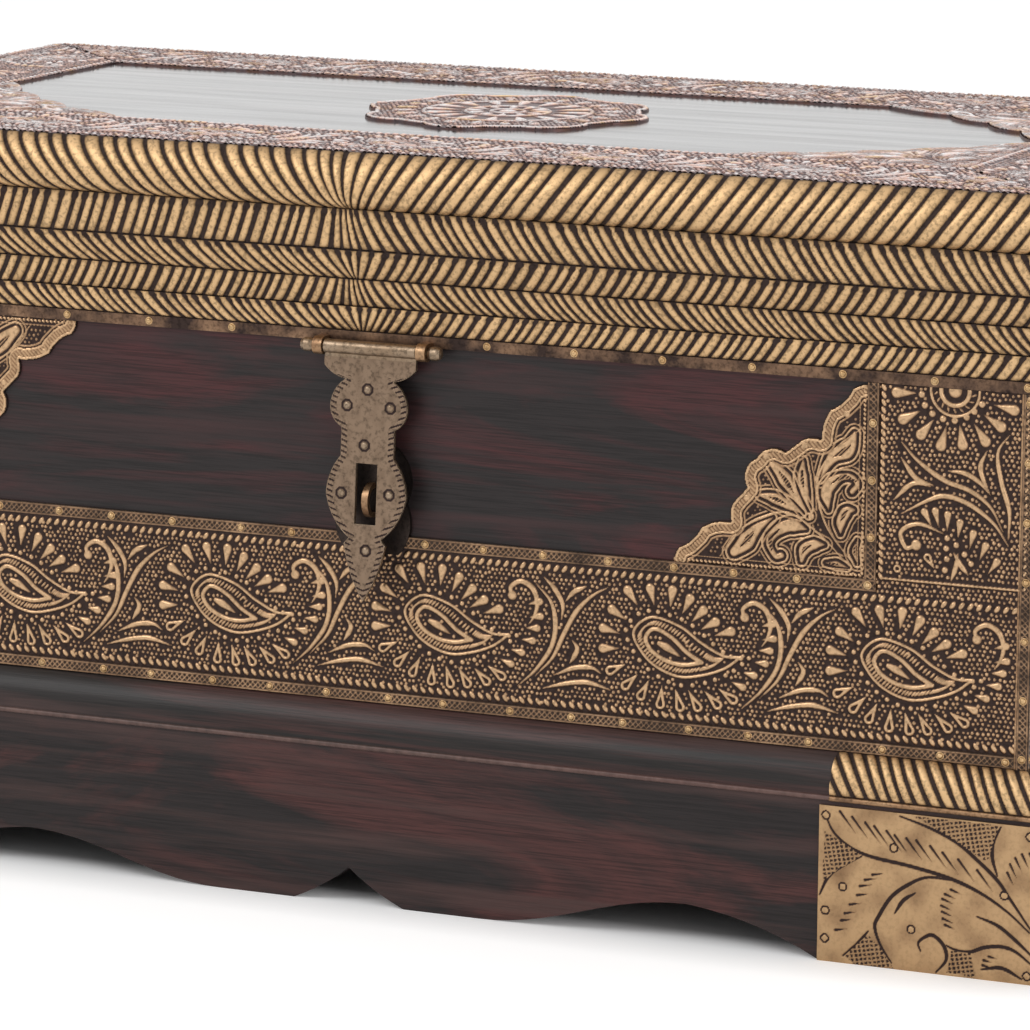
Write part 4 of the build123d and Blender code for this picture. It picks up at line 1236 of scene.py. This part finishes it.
def on_hasp(x, drop, rise):
    """Points over the hasp's outer face; the arguments are three numbers or three arrays of one shape."""
    x, drop, rise = (np.asarray(v)[..., None] for v in (x, drop, rise))
    return HASP_PIN + x * RIGHT + drop * HASP_DOWN + (HASP_HALF_THICKNESS + rise) * HASP_OUT


def hasp_face():
    """The hasp's worn face, with nicks filed along its outer edge and a punched ring round each rivet."""
    left, start, width, length = HASP_FACE
    relief = Relief(width, length, 0.5)
    gx, gy = relief.grid()
    across_hasp, drop = gx + left, start + length - gy

    def place(x, y, rise):
        return on_hasp(x + left, start + length - y, LIFT + rise)

    keep = covered_by("hasp_plate", relief, place, HASP_OUT)
    slot_zone = (np.abs(across_hasp) < 9) & (drop > 62) & (drop < 109)
    away = edge_distance(keep, relief, slot_zone | (drop < start + 3))
    lean = drop + 0.35 * np.abs(across_hasp)
    nick = (np.sin(2 * pi * lean / 3.3) > 0.25) & (away < 3.6) & (drop > 16)
    worn = np.where(away < 3.6, 0.95, hammered(relief, 17, 0.55, 0.95, 5.0))
    relief.height = np.where(nick, 0.12, worn)
    for x, s in HASP_RIVETS:
        around = np.hypot(across_hasp - x, drop - s)
        relief.height = np.where(np.abs(around - 3.1) < 0.75, 0.1, relief.height)
    add_relief("hasp_worn_face", relief, place, HASP_BRASS, "hasp", keep, HASP_RISE)


hasp_face()
rivets = [on_hasp(x, drop, 0.2) for x, drop in HASP_RIVETS]
studs("hasp_rivets", rivets, HASP_OUT, 2.0, 1.1, DULL_BRASS, "hasp", False)


# Floor, light, camera
AMBIENT = 0.6
FLOOR_GREY = (0.94, 0.94, 0.94)
FLOOR_GLOW = 0.44
FLOOR_REACH = 14.0
# The floor's painted shadow under the chest starts SHADE_INSET inside the plinth and fades out over
# SHADE_REACH
SHADE_INSET = 30.0  # the shade under the chest starts this far inside the plinth
SHADE_REACH = 75.0


def area_light(name, place, aim, size, power):
    """A rectangular lamp at a place in metres, turned to an aim."""
    light = bpy.data.lights.new(name, "AREA")
    light.shape = "RECTANGLE"
    light.size, light.size_y = size
    light.energy = power
    lamp = bpy.data.objects.new(name, light)
    lamp.location = place
    lamp.rotation_euler = (Vector(aim) - Vector(place)).to_track_quat("-Z", "Y").to_euler()
    bpy.context.scene.collection.objects.link(lamp)


def white_world():
    """A white world for the camera and for mirror images, and a dimmer one for the rest of the light."""
    world = bpy.data.worlds.new("studio")
    bpy.context.scene.world = world
    tree = Tree(world)
    tree.nodes.clear()
    path = tree.nodes.new("ShaderNodeLightPath").outputs
    seen = tree.math("MAXIMUM", path["Is Camera Ray"], path["Is Glossy Ray"])
    mix = tree.nodes.new("ShaderNodeMixShader")
    tree.links.new(tree.math("MAXIMUM", seen, path["Is Transmission Ray"]), mix.inputs[0])
    for strength, socket in ((AMBIENT, mix.inputs[1]), (1.0, mix.inputs[2])):
        light = tree.nodes.new("ShaderNodeBackground")
        tree.feed(WHITE, light.inputs["Color"])
        tree.feed(strength, light.inputs["Strength"])
        tree.links.new(light.outputs[0], socket)
    tree.links.new(mix.outputs[0], tree.nodes.new("ShaderNodeOutputWorld").inputs[0])


def floor_paper():
    """White paper that glows a little for the camera, but not under the chest: there the glow fades out as a
    painted shadow.
    """
    look = Look("floor_paper")
    path = look.nodes.new("ShaderNodeLightPath").outputs
    seen = look.math("MAXIMUM", path["Is Camera Ray"], path["Is Glossy Ray"])
    glow = look.math("MULTIPLY", seen, FLOOR_GLOW)
    axes = look.axes()
    past = [look.math("SUBTRACT", look.math("ABSOLUTE", axes[axis]), (half - SHADE_INSET) * MM)
            for axis, half in zip("XY", PLINTH_HALF)]
    # Painted shadow: the camera glow fades to nothing over the chest's footprint
    outside_painted_shadow = look.spread(look.math("MAXIMUM", *past), (0.0, SHADE_REACH * MM))
    look.set({"Base Color": FLOOR_GREY, "Roughness": 1.0, "Specular IOR Level": 0.0,
              "Emission Color": WHITE, "Emission Strength": look.math("MULTIPLY", glow, outside_painted_shadow)})
    return look


white_world()
area_light("key", (-1.6, -2.2, 2.4), (0, 0, 0.25), (1.6, 1.2), 28.0)
area_light("fill", (2.4, -1.8, 1.2), (0, 0, 0.2), (1.5, 1.5), 12.0)

floor_mesh = bpy.data.meshes.new("floor")
floor_corners = [(x * FLOOR_REACH, y * FLOOR_REACH, 0) for x, y in ((-1, -1), (1, -1), (1, 1), (-1, 1))]
floor_mesh.from_pydata(floor_corners, [], [(0, 1, 2, 3)])
floor = bpy.data.objects.new("floor", floor_mesh)
bpy.context.scene.collection.objects.link(floor)
floor_mesh.materials.append(floor_paper().material)

CAMERA_PLACE = (1.44215, -3.24595, 0.86256)
CAMERA_AIM = Vector((-0.39748, 0.89896, -0.18408))
CAMERA_ROLL = radians(0.458)
CAMERA_LENS = 202.3
aim = CAMERA_AIM.normalized()
level_right = aim.cross(Vector((0, 0, 1))).normalized()
level_up = level_right.cross(aim)
right = level_right * cos(CAMERA_ROLL) + level_up * sin(CAMERA_ROLL)
up = level_up * cos(CAMERA_ROLL) - level_right * sin(CAMERA_ROLL)
camera_data = bpy.data.cameras.new("camera")
camera_data.lens = CAMERA_LENS
camera_data.sensor_width = 36.0
camera_data.clip_end = 60.0
camera = bpy.data.objects.new("camera", camera_data)
turn = Matrix((right, up, -aim)).transposed()
camera.matrix_world = Matrix.Translation(CAMERA_PLACE) @ turn.to_4x4()
bpy.context.scene.collection.objects.link(camera)
bpy.context.scene.camera = camera
bpy.context.scene.view_settings.view_transform = "Standard"
